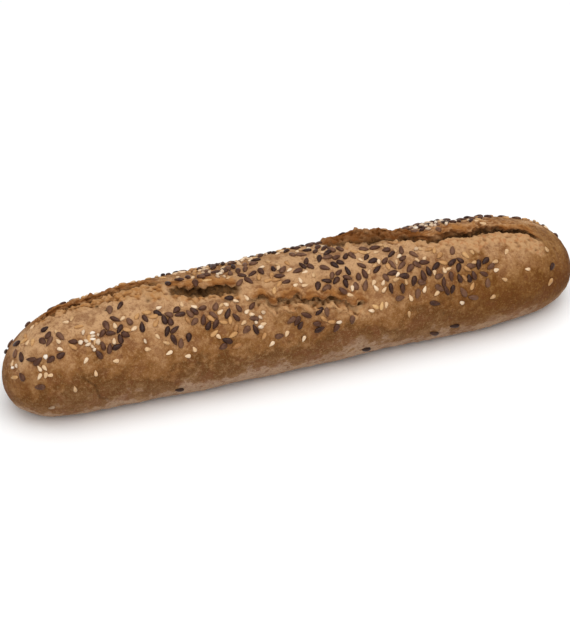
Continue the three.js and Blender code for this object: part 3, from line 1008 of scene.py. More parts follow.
@dataclass
class Strewing:
    """Strews the toppings by a rule, thicker where the baker's hand let more fall."""

    form: LoafForm
    first_angle: float = -86.0
    last_angle: float = 82.0
    end_margin: float = 4.0
    handful: float = 6.0
    most_throws: int = 60000
    dice_start: int = 20417
    drifts: tuple[Spot, ...] = (
        Spot(-134, 15, 9, 34, 0.55),
        Spot(-121, 26, 9, 22, 0.45),
        Spot(-94, 4, 9, 6, 0.35),
        Spot(-91, 29, 10, 12, 0.8),
        Spot(-99, 46, 8, 7, 0.5),
        Spot(-68, 27, 10, 9, 0.9),
        Spot(-67, 48, 8, 8, 0.7),
        Spot(-51, 33, 7, 7, 0.5),
        Spot(-37, 37, 10, 8, 0.95),
        Spot(-33, 51, 10, 10, 0.8),
        Spot(-38, -14, 14, 10, 0.9),
        Spot(-15, 1, 12, 13, 0.95),
        Spot(-4, 60, 14, 10, 0.6),
        Spot(15, -6, 12, 14, 0.6),
        Spot(2, 12, 10, 10, 0.9),
        Spot(31, 5, 12, 12, 0.85),
        Spot(30, 27, 14, 12, 1.3),
        Spot(29, 65, 6, 6, 0.5),
        Spot(51, 23, 11, 10, 1.2),
        Spot(46, 44, 10, 10, 0.9),
        Spot(67, 37, 14, 9, 1.2),
        Spot(70, 54, 14, 9, 1.1),
        Spot(86, 42, 8, 8, 0.6),
        Spot(78, -20, 20, 10, 0.85),
        Spot(108, -26, 14, 12, 0.4),
        Spot(131, -20, 8, 20, 0.4),
        Spot(-50, -44, 20, 14, 0.5),
        Spot(5, -40, 34, 20, 0.8),
        Spot(70, -56, 34, 16, 0.6),
        Spot(-100, -56, 24, 16, 0.3),
    )
    grain_drifts: tuple[Spot, ...] = (
        Spot(-138, 25, 3, 6, 1.0),
        Spot(-130, 11, 2, 3, 0.3),
        Spot(-102, 38, 4, 7, 1.0),
        Spot(-88, 26, 3, 4, 0.5),
        Spot(-62, 34, 6, 8, 0.25),
        Spot(-28, 51, 4, 5, 0.7),
        Spot(-36, 22, 4, 6, 0.9),
        Spot(-37, -8, 5, 9, 0.9),
        Spot(40, 20, 9, 6, 0.3),
        Spot(60, 16, 6, 5, 0.25),
        Spot(68, 43, 4, 4, 0.5),
        Spot(58, 60, 3, 3, 0.4),
        Spot(75, 77, 2, 3, 0.9),
        Spot(78, -20, 26, 12, 0.25),
        Spot(10, -34, 30, 16, 0.25),
    )
    singles: tuple[Single, ...] = (
        Single(Topping.LINSEED, -129, 70, 0.1),
        Single(Topping.LINSEED, -65, 114, 0.3),
        Single(Topping.LINSEED, 27, 112, 0.4),
        Single(Topping.LINSEED, 62, 112, 0.5),
        Single(Topping.LINSEED, 72, 106, 0.2),
        Single(Topping.LINSEED, 81, 74, 0.3),
        Single(Topping.SESAME, -124, 58, 0.1),
        Single(Topping.SESAME, -125, 104, -0.4),
        Single(Topping.SESAME, -94, 60, 0.2),
        Single(Topping.SESAME, -69, 64, -0.3),
        Single(Topping.SESAME, -57, 66, 1.2),
        Single(Topping.SESAME, 91, 78, -0.4),
        Single(Topping.SESAME, 98, 62, 0.5),
        Single(Topping.SESAME, 124, 36, 1.1),
        Single(Topping.SESAME, 111, 56, 0.2),
        Single(Topping.GRAIN, 13, 69, 0.0),
        Single(Topping.GRAIN, -102, 34, 0.3),
        Single(Topping.GRAIN, -103, 41, 1.1),
        Single(Topping.GRAIN, -100, 38, 2.0),
        Single(Topping.GRAIN, -138, 25, 0.6),
        Single(Topping.GRAIN, -124, 36, 0.2),
        Single(Topping.GRAIN, -79, 48, 1.4),
        Single(Topping.GRAIN, -37, -1, 0.9),
        Single(Topping.GRAIN, 75, 77, 0.4),
    )

    def thickness(self, kind: Kind, x: float, angle: float) -> float:
        """How thickly a kind lies at a place, from 0 to 1.

        Args:
            kind: The kind.
            x: A place along the loaf.
            angle: Degrees from the crown, positive to the front.

        Returns:
            The chance that one which falls there stays.
        """
        total = kind.stray
        for drift in self.grain_drifts if kind is Topping.GRAIN.value else self.drifts:
            along = (x - drift.along) / drift.reach
            around = (angle - drift.round) / drift.width
            total += drift.strength * math.exp(-(along * along + around * around))
        return total

    def seed(self, kind: Kind, x: float, angle: float, turn: float) -> Seed:
        """A seed at a place."""
        cap = float(self.form.section(np.array(x))["cap"])
        return Seed(kind, x, angle, turn, math.radians(angle) * self.form.mean_radius * cap)

    def throw(self, kind: Kind, placed: list[Seed], dice: Dice) -> Seed | None:
        """Throws one seed, often beside the one before.

        Args:
            kind: Its kind.
            placed: Those of its kind that already lie.
            dice: The random numbers.

        Returns:
            The seed, or None where it falls off the loaf or onto torn crumb.
        """
        reach = self.form.half_length - self.end_margin
        x = -reach + 2 * reach * dice.roll()
        angle = self.first_angle + (self.last_angle - self.first_angle) * dice.roll()
        turn = math.pi * 2 * dice.roll()
        luck = dice.roll()
        if placed and dice.roll() < kind.company:
            near = placed[-1]
            x = near.x + self.handful * (x / reach)
            handful_angle = math.degrees(self.handful / self.form.mean_radius)
            angle = near.angle + handful_angle * (angle / -self.first_angle)
        if abs(x) > reach or luck > self.thickness(kind, x, angle):
            return None
        return None if self.form.is_torn(x, angle) else self.seed(kind, x, angle, turn)

    def strew(self) -> dict[str, list[Seed]]:
        """Strews every kind in turn, clear of the splits and of what already lies there.

        Returns:
            The seeds of each kind by its name.
        """
        dice = Dice(self.dice_start)
        lying = [
            self.seed(lone.topping.value, lone.x, lone.angle, lone.turn) for lone in self.singles
        ]
        strewn: dict[str, list[Seed]] = {}
        for topping in Topping:
            kind = topping.value
            placed = [seed for seed in lying if seed.kind is kind]
            strewn[kind.name] = placed
            for _ in range(self.most_throws):
                if len(placed) >= kind.count:
                    break
                seed = self.throw(kind, placed, dice)
                if seed and all(seed.is_clear_of(other) for other in lying):
                    placed.append(seed)
                    lying.append(seed)
        return strewn


@dataclass
class SeedSeats:
    """Finds where each seed comes to lie on the finished crust."""

    form: LoafForm
    crust: bpy.types.Object
    drop_height: float = 6.0
    feel: float = 1.4

    def __post_init__(self) -> None:
        """Makes the crust ready for being felt for."""
        self.tree = BVHTree.FromObject(self.crust, bpy.context.evaluated_depsgraph_get())

    def seat(self, seed: Seed, stands_proud: float) -> tuple[Vector, Matrix]:
        """Drops one seed onto the crust.

        Args:
            seed: The seed.
            stands_proud: How far its middle lies above the crust.

        Returns:
            Its middle in metres and its turn, with its length along the first axis.
        """
        x = np.array([seed.x + self.feel, seed.x - self.feel, seed.x, seed.x, seed.x])
        step = math.degrees(self.feel / self.form.mean_radius)
        angle = seed.angle + np.array([0.0, 0.0, step, -step, 0.0])
        felt = [Vector(point) for point in self.form.crust(x, angle)]
        ahead = felt[0] - felt[1]
        outward = (felt[2] - felt[3]).cross(ahead).normalized()
        start = (felt[4] + outward * self.drop_height) * MM
        hit, _, _, _ = self.tree.ray_cast(start, -outward)
        if hit is None:
            hit = felt[4] * MM
        along = (ahead - outward * ahead.dot(outward)).normalized()
        along = Matrix.Rotation(-seed.turn, 3, outward) @ along
        side = outward.cross(along)
        turn = Matrix((along, side, outward)).transposed()
        return hit + outward * (stands_proud * MM), turn


# Materials


@dataclass(frozen=True)
class Swells:
    """Soft noise in a material: swells size millimetres wide, and how fine and rough they are."""

    size: float
    detail: float
    roughness: float = 0.5
    offset: float = 0.0


class NodeBench:
    """Lays out and links the nodes of one node tree."""

    def __init__(self, tree: bpy.types.NodeTree) -> None:
        """Works on this tree."""
        self.tree = tree

    def add(
        self, kind: str, inputs: dict[str | int, object] | None = None, **settings: object
    ) -> bpy.types.Node:
        """Adds a node.

        Args:
            kind: Its Blender type.
            inputs: Values or sockets for its inputs, by name or number.
            settings: Its own properties.

        Returns:
            The node.
        """
        node = self.tree.nodes.new(kind)
        for name, value in settings.items():
            setattr(node, name, value)
        for key, value in (inputs or {}).items():
            self.feed(node.inputs[key], value)
        return node

    def feed(self, socket: Socket, value: object) -> None:
        """Links a socket to an input, or sets the input's value.

        Args:
            socket: The input.
            value: A socket or a plain value.
        """
        if isinstance(value, bpy.types.NodeSocket):
            self.tree.links.new(value, socket)
        else:
            socket.default_value = value

    def math(self, operation: str, *values: object, clamp: bool = False) -> Socket:
        """The result of one Math node."""
        settings = {"operation": operation, "use_clamp": clamp}
        return self.add("ShaderNodeMath", dict(enumerate(values)), **settings).outputs[0]

    def times(self, first: object, *others: object) -> Socket:
        """The product of some values.

        Args:
            first: The first value.
            others: What it is multiplied by, in turn.

        Returns:
            The product.
        """
        for other in others:
            first = self.math("MULTIPLY", first, other)
        return first

    def fade(self, value: object, fade: Fade) -> Socket:
        """A value turned into a share.

        Args:
            value: The value.
            fade: From where to where it turns.

        Returns:
            The share.
        """
        inputs = {
            "Value": value,
            "From Min": fade.low,
            "From Max": fade.high,
            "To Min": fade.least,
            "To Max": fade.most,
        }
        node = self.add("ShaderNodeMapRange", inputs, interpolation_type="SMOOTHSTEP")
        return node.outputs["Result"]

    def mix(self, share: object, first: object, second: object, blend: str = "MIX") -> Socket:
        """A blend of two colours."""
        settings = {"data_type": "RGBA", "blend_type": blend, "clamp_factor": True}
        return self.add("ShaderNodeMix", {0: share, 6: first, 7: second}, **settings).outputs[2]

    def ramp(self, value: object, stops: tuple[tuple[float, Colour], ...]) -> Socket:
        """A colour read from a row of stops.

        Args:
            value: Where along the row, from 0 to 1.
            stops: Each stop's place and colour.

        Returns:
            The colour.
        """
        node = self.add("ShaderNodeValToRGB", {"Fac": value})
        node.color_ramp.interpolation = "EASE"
        elements = node.color_ramp.elements
        while len(elements) < len(stops):
            elements.new(0.5)
        for element, (place, colour) in zip(elements, stops):
            element.position = place
            element.color = colour
        return node.outputs["Color"]

    def mark(self, name: str) -> Socket:
        """A number stored on the mesh's points."""
        return self.add("ShaderNodeAttribute", attribute_name=name).outputs["Fac"]

    def place(self) -> Socket:
        """Where on the object."""
        return self.add("ShaderNodeTexCoord").outputs["Object"]

    def noise(self, place: object, swells: Swells) -> Socket:
        """Soft noise from 0 to 1.

        Args:
            place: Where on the object.
            swells: How wide, fine and rough it is.

        Returns:
            The noise.
        """
        aside = (swells.offset, swells.offset * 0.7, -swells.offset)
        moved = self.add("ShaderNodeMapping", {"Vector": place, "Location": aside})
        inputs = {
            "Vector": moved.outputs[0],
            "Scale": 1 / (swells.size * MM),
            "Detail": swells.detail,
            "Roughness": swells.roughness,
        }
        return self.add("ShaderNodeTexNoise", inputs).outputs["Fac"]


def new_material(name: str) -> tuple[bpy.types.Material, NodeBench, bpy.types.Node]:
    """An empty material with a Principled shader.

    Args:
        name: The material's name.

    Returns:
        The material, a bench for its nodes and its shader.
    """
    material = bpy.data.materials.new(name)
    material.use_nodes = True
    material.node_tree.nodes.clear()
    bench = NodeBench(material.node_tree)
    shader = bench.add("ShaderNodeBsdfPrincipled")
    output = bench.add("ShaderNodeOutputMaterial")
    bench.feed(output.inputs["Surface"], shader.outputs["BSDF"])
    return material, bench, shader


class SkinGrain:
    """The shader node group for the grain that dough and seeds share, at a size of its own."""

    detail = 4.0
    roughness = 0.62
    finer = 3.7
    fine_detail = 3.0
    coarse_share = 0.6

    def __init__(self) -> None:
        """Builds the group."""
        tree = bpy.data.node_groups.new("skin_grain", "ShaderNodeTree")
        self.tree = tree
        face = tree.interface
        face.new_socket("Place", in_out="INPUT", socket_type="NodeSocketVector")
        for name in ("Size", "Strength", "Distance"):
            face.new_socket(name, in_out="INPUT", socket_type="NodeSocketFloat")
        for name in ("Mottle", "Fine"):
            face.new_socket(name, in_out="OUTPUT", socket_type="NodeSocketFloat")
        face.new_socket("Normal", in_out="OUTPUT", socket_type="NodeSocketVector")
        bench = NodeBench(tree)
        given = bench.add("NodeGroupInput").outputs
        scale = bench.math("DIVIDE", 1 / MM, given["Size"])
        inputs = {"Vector": given["Place"], "Scale": scale, "Detail": self.detail}
        inputs["Roughness"] = self.roughness
        mottle = bench.add("ShaderNodeTexNoise", inputs).outputs["Fac"]
        scale = bench.times(scale, self.finer)
        inputs = {"Vector": given["Place"], "Scale": scale, "Detail": self.fine_detail}
        fine = bench.add("ShaderNodeTexNoise", inputs).outputs["Fac"]
        coarse = bench.times(mottle, self.coarse_share)
        height = bench.math("ADD", coarse, bench.times(fine, 1 - self.coarse_share))
        inputs = {name: given[name] for name in ("Strength", "Distance")}
        bump = bench.add("ShaderNodeBump", inputs | {"Height": height})
        bench.add("NodeGroupOutput", {0: mottle, 1: fine, 2: bump.outputs["Normal"]})

    def use(
        self, bench: NodeBench, place: object, size: float, strength: object, distance: float
    ) -> bpy.types.Node:
        """Puts the group in a material.

        Args:
            bench: The material's bench.
            place: Where on the object.
            size: How wide one patch is, in millimetres.
            strength: How strong the bump is.
            distance: How high the bump is, in millimetres.

        Returns:
            The group's node.
        """
        node = bench.add("ShaderNodeGroup", node_tree=self.tree)
        given = {"Place": place, "Size": size, "Strength": strength, "Distance": distance * MM}
        for name, value in given.items():
            bench.feed(node.inputs[name], value)
        return node


@dataclass(frozen=True)
class CrustFinish:
    """The look of the baked dough, from the crown to the base and in the splits, with painted light
    and shade in parts of its colour.

    Colours come first. Then come the sizes of its noises, and the Fades that say where each colour
    shows: of turn, which is degrees from the lightest line of the crown, of along, which is
    millimetres from the middle, of patchy noise, of the grain's mottle and specks, or of how high
    a point of the relief stands.
    """

    crown: Colour = srgb(192, 150, 108)
    shoulder: Colour = srgb(162, 118, 76)
    side: Colour = srgb(131, 86, 41)
    browned: Colour = srgb(95, 57, 14)
    deep: Colour = srgb(106, 63, 14)
    warmth: Colour = (0.84, 0.75, 0.48, 1.0)
    low: Colour = srgb(118, 81, 45)
    base: Colour = srgb(164, 135, 110)
    flour: Colour = srgb(196, 157, 112)
    bran: Colour = srgb(112, 66, 34)
    torn: Colour = srgb(192, 150, 106)
    fleck: Colour = srgb(172, 108, 66)
    golden: Colour = srgb(172, 117, 60)
    pit_shade: Colour = srgb(124, 76, 30)
    # Painted shade for the hollows, holes and cracks, and for the crumb's pores.
    hollow: Colour = srgb(92, 60, 24)
    deepest: Colour = srgb(52, 32, 12)
    burnt: Colour = srgb(112, 62, 18)
    toasted: Colour = srgb(166, 111, 57)

    broad: Swells = Swells(26, 2, offset=0.3)
    patches: Swells = Swells(6, 5, 0.65, offset=0.1)
    veins: Swells = Swells(3.8, 2, offset=0.7)
    vein_gaps: Swells = Swells(9, 2, offset=0.6)
    flecks: Swells = Swells(2.6, 3, 0.6, offset=0.2)
    grain_size: float = 1.3
    grain_height: float = 0.8
    grain_strength: Fade = Fade(0.1, 0.8, 0.8, 1.0)

    lightest_line: float = 6.0
    highlight_shift: float = 24.0
    wander: Fade = Fade(0.3, 0.7, -14, 14)
    full_turn: float = 180.0
    left_tip_later: float = 2.0
    tip_least_turn: Fade = Fade(128, 141, 0, 66)
    tip_most_turn: Fade = Fade(128, 142, 180, 84)

    in_front: Fade = Fade(-10, 8)
    all_round: Fade = Fade(124, 138)
    right_along: Fade = Fade(48, 98)
    right_turn: Fade = Fade(26, 60)
    right_steadiness: float = 8.0
    right_end: Fade = Fade(104, 126, 0, 0.68)
    left_end: Fade = Fade(-118, -140, 0, 0.5)
    left_turn: Fade = Fade(30, 60)
    ends_below: Fade = Fade(82, 110, 1.0, 0.1)
    ends_share: float = 0.8
    tip_along: Fade = Fade(112, 134)
    tip_turn: Fade = Fade(4, 66, 0.3, 0.85)
    tip_below: Fade = Fade(84, 106, 1.0, 0.2)

    lowness: Fade = Fade(30, 80, 0.35, 1.0)
    blotches: Fade = Fade(0.5, 0.72, 0, 0.55)
    pale_spots: Fade = Fade(0.46, 0.3, 0, 0.2)
    vein_share: Fade = Fade(0.0, 0.06, 0.12, 0.0)
    vein_breaks: Fade = Fade(0.45, 0.65)
    vein_turn: Fade = Fade(52, 88, 0.1, 1.0)
    # Painted shade in the relief's pits and painted light on its crests.
    pits: Fade = Fade(0.5, 0.15, 0, 0.6)
    crest_highlight: Fade = Fade(0.55, 0.95, 0, 0.12)
    dark_mottle: Fade = Fade(0.53, 0.66, 0, 0.5)
    dark_specks: Fade = Fade(0.53, 0.66, 0, 0.45)
    light_specks: Fade = Fade(0.47, 0.32, 0, 0.22)
    light_mottle: Fade = Fade(0.48, 0.34)
    light_mottle_turn: Fade = Fade(30, 75, 0.35, 0.2)

    crumb_edge: Fade = Fade(0.3, 0.7, -0.3, 0.3)
    crumb_share: Fade = Fade(0.25, 0.85, 0, 0.92)
    coarseness: Fade = Fade(0.3, 0.8, 0.35, 1.0)
    fleck_share: Fade = Fade(0.5, 0.66, 0, 0.7)
    golden_share: Fade = Fade(0.35, 0.6, 0.4, 1.0)
    # Painted light on the crumb's crests, and painted shade in its pits and pores.
    crumb_crest_highlight: Fade = Fade(0.55, 0.95, 0, 0.5)
    crumb_pit_shade: Fade = Fade(0.5, 0.2, 0, 0.75)
    pores: Fade = Fade(0.18, 0.02)
    pore_shade_share: float = 0.85

    ear_singe: Fade = Fade(0.35, 0.6, 0.3, 0.95)
    wall_singe: Fade = Fade(0.36, 0.6, 0.55, 1.0)
    lip_singe: Fade = Fade(0.36, 0.6, 0.2, 0.85)
    streak_share: float = 0.65
    hollow_shade_mottle: Fade = Fade(0.42, 0.6)
    roughness: Fade = Fade(0.3, 0.7, 0.7, 0.88)
    specular: float = 0.16

    def dress(self, obj: bpy.types.Object, skin_grain: SkinGrain) -> None:
        """Makes the finish and gives it to the crust.

        Args:
            obj: The crust, with its marks.
            skin_grain: The grain that dough and seeds share.
        """
        material, bench, shader = new_material("baked_crust")
        place = bench.place()
        strength = bench.fade(bench.mark("crumb"), self.grain_strength)
        grain = skin_grain.use(bench, place, self.grain_size, strength, self.grain_height).outputs
        at = {
            "place": place,
            "mottle": grain["Mottle"],
            "specks": grain["Fine"],
            "patchy": bench.noise(place, self.patches),
            "along": bench.mark("along"),
            "height": bench.mark("height"),
        }
        at |= self.turns(bench, at)
        ends, tip = self.end_shares(bench, at)
        # Colour by turn from the crown, partly the crust's own browning and partly painted light and
        # shade: lighter at the crown where light falls from above, darker down the side, and paler
        # again at the base as painted floor light bouncing up.
        colour = bench.ramp(
            bench.math("DIVIDE", at["wandered"], self.full_turn, clamp=True),
            (
                (0.0, self.crown),
                (0.20, self.shoulder),
                (0.34, self.side),
                (0.46, self.browned),
                (0.54, self.low),
                (0.62, self.base),
            ),
        )
        colour = bench.mix(bench.times(ends, self.ends_share), colour, self.deep)
        colour = self.mottled(bench, at, colour)
        colour = bench.mix(ends, colour, self.warmth, blend="MULTIPLY")
        colour = bench.mix(tip, colour, self.warmth, blend="MULTIPLY")
        colour = self.torn_open(bench, at, colour)
        bench.feed(shader.inputs["Base Color"], colour)
        bench.feed(shader.inputs["Roughness"], bench.fade(at["patchy"], self.roughness))
        bench.feed(shader.inputs["Normal"], grain["Normal"])
        shader.inputs["Specular IOR Level"].default_value = self.specular
        obj.data.materials.append(material)

    def turns(self, bench: NodeBench, at: dict[str, Socket]) -> dict[str, Socket]:
        """Degrees from the crown's lightest line.

        Args:
            bench: The material's bench.
            at: The values at a point.

        Returns:
            turn as it is, turned with the painted highlights lighter and both tips brown all round,
            and wandered with an uneven edge.
        """
        turn = bench.math("SUBTRACT", bench.mark("round"), self.lightest_line)
        turn = bench.math("ABSOLUTE", turn)
        # Painted highlight: the turn moves towards the crown's lighter colour.
        painted_highlight = bench.times(bench.mark("pale"), self.highlight_shift)
        turned = bench.math("SUBTRACT", turn, painted_highlight)
        leftwards = bench.math("SUBTRACT", bench.times(at["along"], -1.0), self.left_tip_later)
        out = bench.math("MAXIMUM", at["along"], leftwards)
        turned = bench.math("MAXIMUM", turned, bench.fade(out, self.tip_least_turn))
        turned = bench.math("MINIMUM", turned, bench.fade(out, self.tip_most_turn))
        broad = bench.noise(at["place"], self.broad)
        wandered = bench.math("ADD", turned, bench.fade(broad, self.wander))
        wandered = bench.math("ADD", wandered, bench.fade(at["patchy"], self.wander))
        return {"turn": turn, "turned": turned, "wandered": wandered}

    def end_shares(self, bench: NodeBench, at: dict[str, Socket]) -> tuple[Socket, Socket]:
        """How strongly the loaf's ends are browned.

        Args:
            bench: The material's bench.
            at: The values at a point.

        Returns:
            The share at both ends, and the further share at the right tip.
        """
        along = at["along"]
        front = bench.fade(bench.mark("round"), self.in_front)
        front = bench.math("MAXIMUM", front, bench.fade(along, self.all_round))
        steady = bench.math("SUBTRACT", at["turned"], self.right_steadiness)
        steady = bench.math("MAXIMUM", at["wandered"], steady)
        low_right = bench.fade(steady, self.right_turn)
        to_right = bench.times(bench.fade(along, self.right_along), low_right)
        at_right = bench.times(bench.fade(along, self.right_end), front)
        low_left = bench.fade(at["turn"], self.left_turn)
        at_left = bench.times(bench.fade(along, self.left_end), low_left)
        ends = bench.math("MAXIMUM", bench.math("MAXIMUM", to_right, at_right), at_left)
        ends = bench.times(ends, bench.fade(at["turned"], self.ends_below))
        tip = bench.times(
            bench.fade(along, self.tip_along),
            front,
            bench.fade(at["wandered"], self.tip_turn),
            bench.fade(at["turned"], self.tip_below),
        )
        return ends, tip

    def mottled(self, bench: NodeBench, at: dict[str, Socket], colour: Socket) -> Socket:
        """Adds blotches, veins, bran and flour.

        Args:
            bench: The material's bench.
            at: The values at a point.
            colour: The colour so far.

        Returns:
            The mottled colour.
        """
        lowness = bench.fade(at["turn"], self.lowness)
        blotches = bench.times(bench.fade(at["patchy"], self.blotches), lowness)
        colour = bench.mix(blotches, colour, self.browned)
        pale = bench.times(bench.fade(at["patchy"], self.pale_spots), lowness)
        colour = bench.mix(pale, colour, self.flour)
        ridge = bench.math("SUBTRACT", bench.noise(at["place"], self.veins), 0.5)
        vein = bench.fade(bench.math("ABSOLUTE", ridge), self.vein_share)
        gaps = bench.fade(bench.noise(at["place"], self.vein_gaps), self.vein_breaks)
        vein = bench.times(vein, bench.fade(at["wandered"], self.vein_turn), gaps)
        colour = bench.mix(vein, colour, self.flour)
        # The first two rows are painted shade in the relief's pits and painted light on its crests;
        # the rest are the crust's own bran and flour specks.
        for value, fade, tint in (
            ("height", self.pits, self.bran),
            ("height", self.crest_highlight, self.flour),
            ("mottle", self.dark_mottle, self.bran),
            ("specks", self.dark_specks, self.bran),
            ("specks", self.light_specks, self.flour),
        ):
            colour = bench.mix(bench.fade(at[value], fade), colour, tint)
        light = bench.fade(at["mottle"], self.light_mottle)
        light = bench.times(light, bench.fade(at["turn"], self.light_mottle_turn))
        return bench.mix(light, colour, self.flour)

    def torn_open(self, bench: NodeBench, at: dict[str, Socket], colour: Socket) -> Socket:
        """Adds the crumb, the singed flaps, and painted shade in the hollows of the splits and in the
        holes and cracks.

        Args:
            bench: The material's bench.
            at: The values at a point.
            colour: The colour so far.

        Returns:
            The colour with the splits.
        """
        torn = bench.math("ADD", bench.mark("torn"), bench.fade(at["patchy"], self.crumb_edge))
        colour = bench.mix(bench.fade(torn, self.crumb_share), colour, self.crumbly(bench, at))
        ear = bench.mark("ear")
        toasted = bench.times(ear, ear, bench.fade(at["patchy"], self.ear_singe))
        colour = bench.mix(toasted, colour, self.toasted)
        for name, fade in (("wall", self.wall_singe), ("lip", self.lip_singe)):
            singed = bench.times(bench.mark(name), bench.fade(at["patchy"], fade))
            colour = bench.mix(singed, colour, self.burnt)
        streaks = bench.times(bench.mark("streak"), self.streak_share)
        colour = bench.mix(streaks, colour, self.burnt)
        # Painted shade: hollows, holes and cracks are darkened towards the deepest colour.
        dark = bench.mix(bench.fade(at["mottle"], self.hollow_shade_mottle), self.deepest, self.hollow)
        return bench.mix(bench.mark("hollow"), colour, dark)

    def crumbly(self, bench: NodeBench, at: dict[str, Socket]) -> Socket:
        """The colour of torn crumb: pale, with golden blisters and reddish flecks, painted lighter on
        its crests and darker in its pits and pores.

        Args:
            bench: The material's bench.
            at: The values at a point.

        Returns:
            The colour.
        """
        height = at["height"]
        crumb = bench.mark("crumb")
        flecks = bench.noise(at["place"], self.flecks)
        colour = bench.mix(bench.fade(flecks, self.fleck_share), self.torn, self.fleck)
        blisters = bench.times(bench.mark("gold"), bench.fade(flecks, self.golden_share))
        colour = bench.mix(blisters, colour, self.golden)
        # Painted light on the crumb's crests, then painted shade in its pits and pores.
        colour = bench.mix(bench.fade(height, self.crumb_crest_highlight), colour, self.torn)
        coarse = bench.fade(crumb, self.coarseness)
        pit_shade = bench.times(bench.fade(height, self.crumb_pit_shade), coarse)
        colour = bench.mix(pit_shade, colour, self.pit_shade)
        pores = bench.times(bench.fade(height, self.pores), crumb, self.pore_shade_share)
        return bench.mix(pores, colour, self.deepest)


@dataclass(frozen=True)
class SeedFinish:
    """The look of one kind of topping, with colours from its darkest pieces to its lightest, and
    painted shade on those low on the loaf.
    """

    name: str
    dark: Colour
    middle: Colour
    light: Colour
    roughness: float
    specular: float
    painted_shade_tint: Colour = (0.4, 0.36, 0.34, 1.0)
    middle_tone: float = 0.55
    grain_size: float = 2.4
    grain_strength: float = 0.35
    grain_height: float = 0.15
    tone_wander: Fade = Fade(0.3, 0.7, -0.22, 0.22)
    specks: Fade = Fade(0.5, 0.75, 0, 0.3)
    painted_low_shade: Fade = Fade(12 * MM, 30 * MM, 1.0, 0.0)
    roughness_span: tuple[float, float] = (-0.08, 0.12)

    def make(self, skin_grain: SkinGrain) -> bpy.types.Material:
        """Makes the finish.

        Args:
            skin_grain: The grain that dough and seeds share.

        Returns:
            The material.
        """
        material, bench, shader = new_material(self.name)
        place = bench.place()
        grain = skin_grain.use(
            bench, place, self.grain_size, self.grain_strength, self.grain_height
        ).outputs
        mottle = grain["Mottle"]
        tone = bench.math("ADD", bench.mark("tone"), bench.fade(mottle, self.tone_wander))
        stops = ((0.0, self.dark), (self.middle_tone, self.middle), (1.0, self.light))
        colour = bench.ramp(tone, stops)
        colour = bench.mix(bench.fade(grain["Fine"], self.specks), colour, self.light)
        # Painted shade: seeds low on the loaf, on the side turned from the light, are multiplied
        # darker.
        above = bench.add("ShaderNodeSeparateXYZ", {"Vector": place}).outputs["Z"]
        shade = bench.fade(above, self.painted_low_shade)
        colour = bench.mix(shade, colour, self.painted_shade_tint, blend="MULTIPLY")
        smoother, rougher = self.roughness_span
        roughness = Fade(0.3, 0.7, self.roughness + smoother, self.roughness + rougher)
        bench.feed(shader.inputs["Base Color"], colour)
        bench.feed(shader.inputs["Roughness"], bench.fade(mottle, roughness))
        bench.feed(shader.inputs["Normal"], grain["Normal"])
        shader.inputs["Specular IOR Level"].default_value = self.specular
        return material


def seed_shape(
    name: str, waist: tuple[tuple[float, float], ...], sides: int, lumpiness: float
) -> bpy.types.Object:
    """A plump closed body one long, one wide and one thick, lying along X.

    Args:
        name: Its name.
        waist: Rings as place along it and share of its full width, tips left out.
        sides: Corners of each ring.
        lumpiness: Share of the width by which its corners stand out or in.

    Returns:
        The object, which isn't shown.
    """
    dice = Dice(len(name))
    points = [(-0.5, 0.0, 0.0)]
    for along, share in waist:
        for side in range(sides):
            turn = 2 * math.pi * side / sides
            reach = 0.5 * share * (1 + lumpiness * (2 * dice.roll() - 1))
            points.append((along, reach * math.cos(turn), reach * math.sin(turn)))
    points.append((0.5, 0.0, 0.0))
    faces: list[tuple[int, ...]] = []
    last = len(points) - 1
    for side in range(sides):
        following = (side + 1) % sides
        faces.append((0, 1 + following, 1 + side))
        for ring in range(len(waist) - 1):
            a = 1 + ring * sides
            faces.append((a + side, a + following, a + sides + following, a + sides + side))
        faces.append((last, last - sides + side, last - sides + following))
    obj = mesh_object(name, np.array(points) / MM, faces)
    bpy.context.scene.collection.objects.unlink(obj)
    return obj


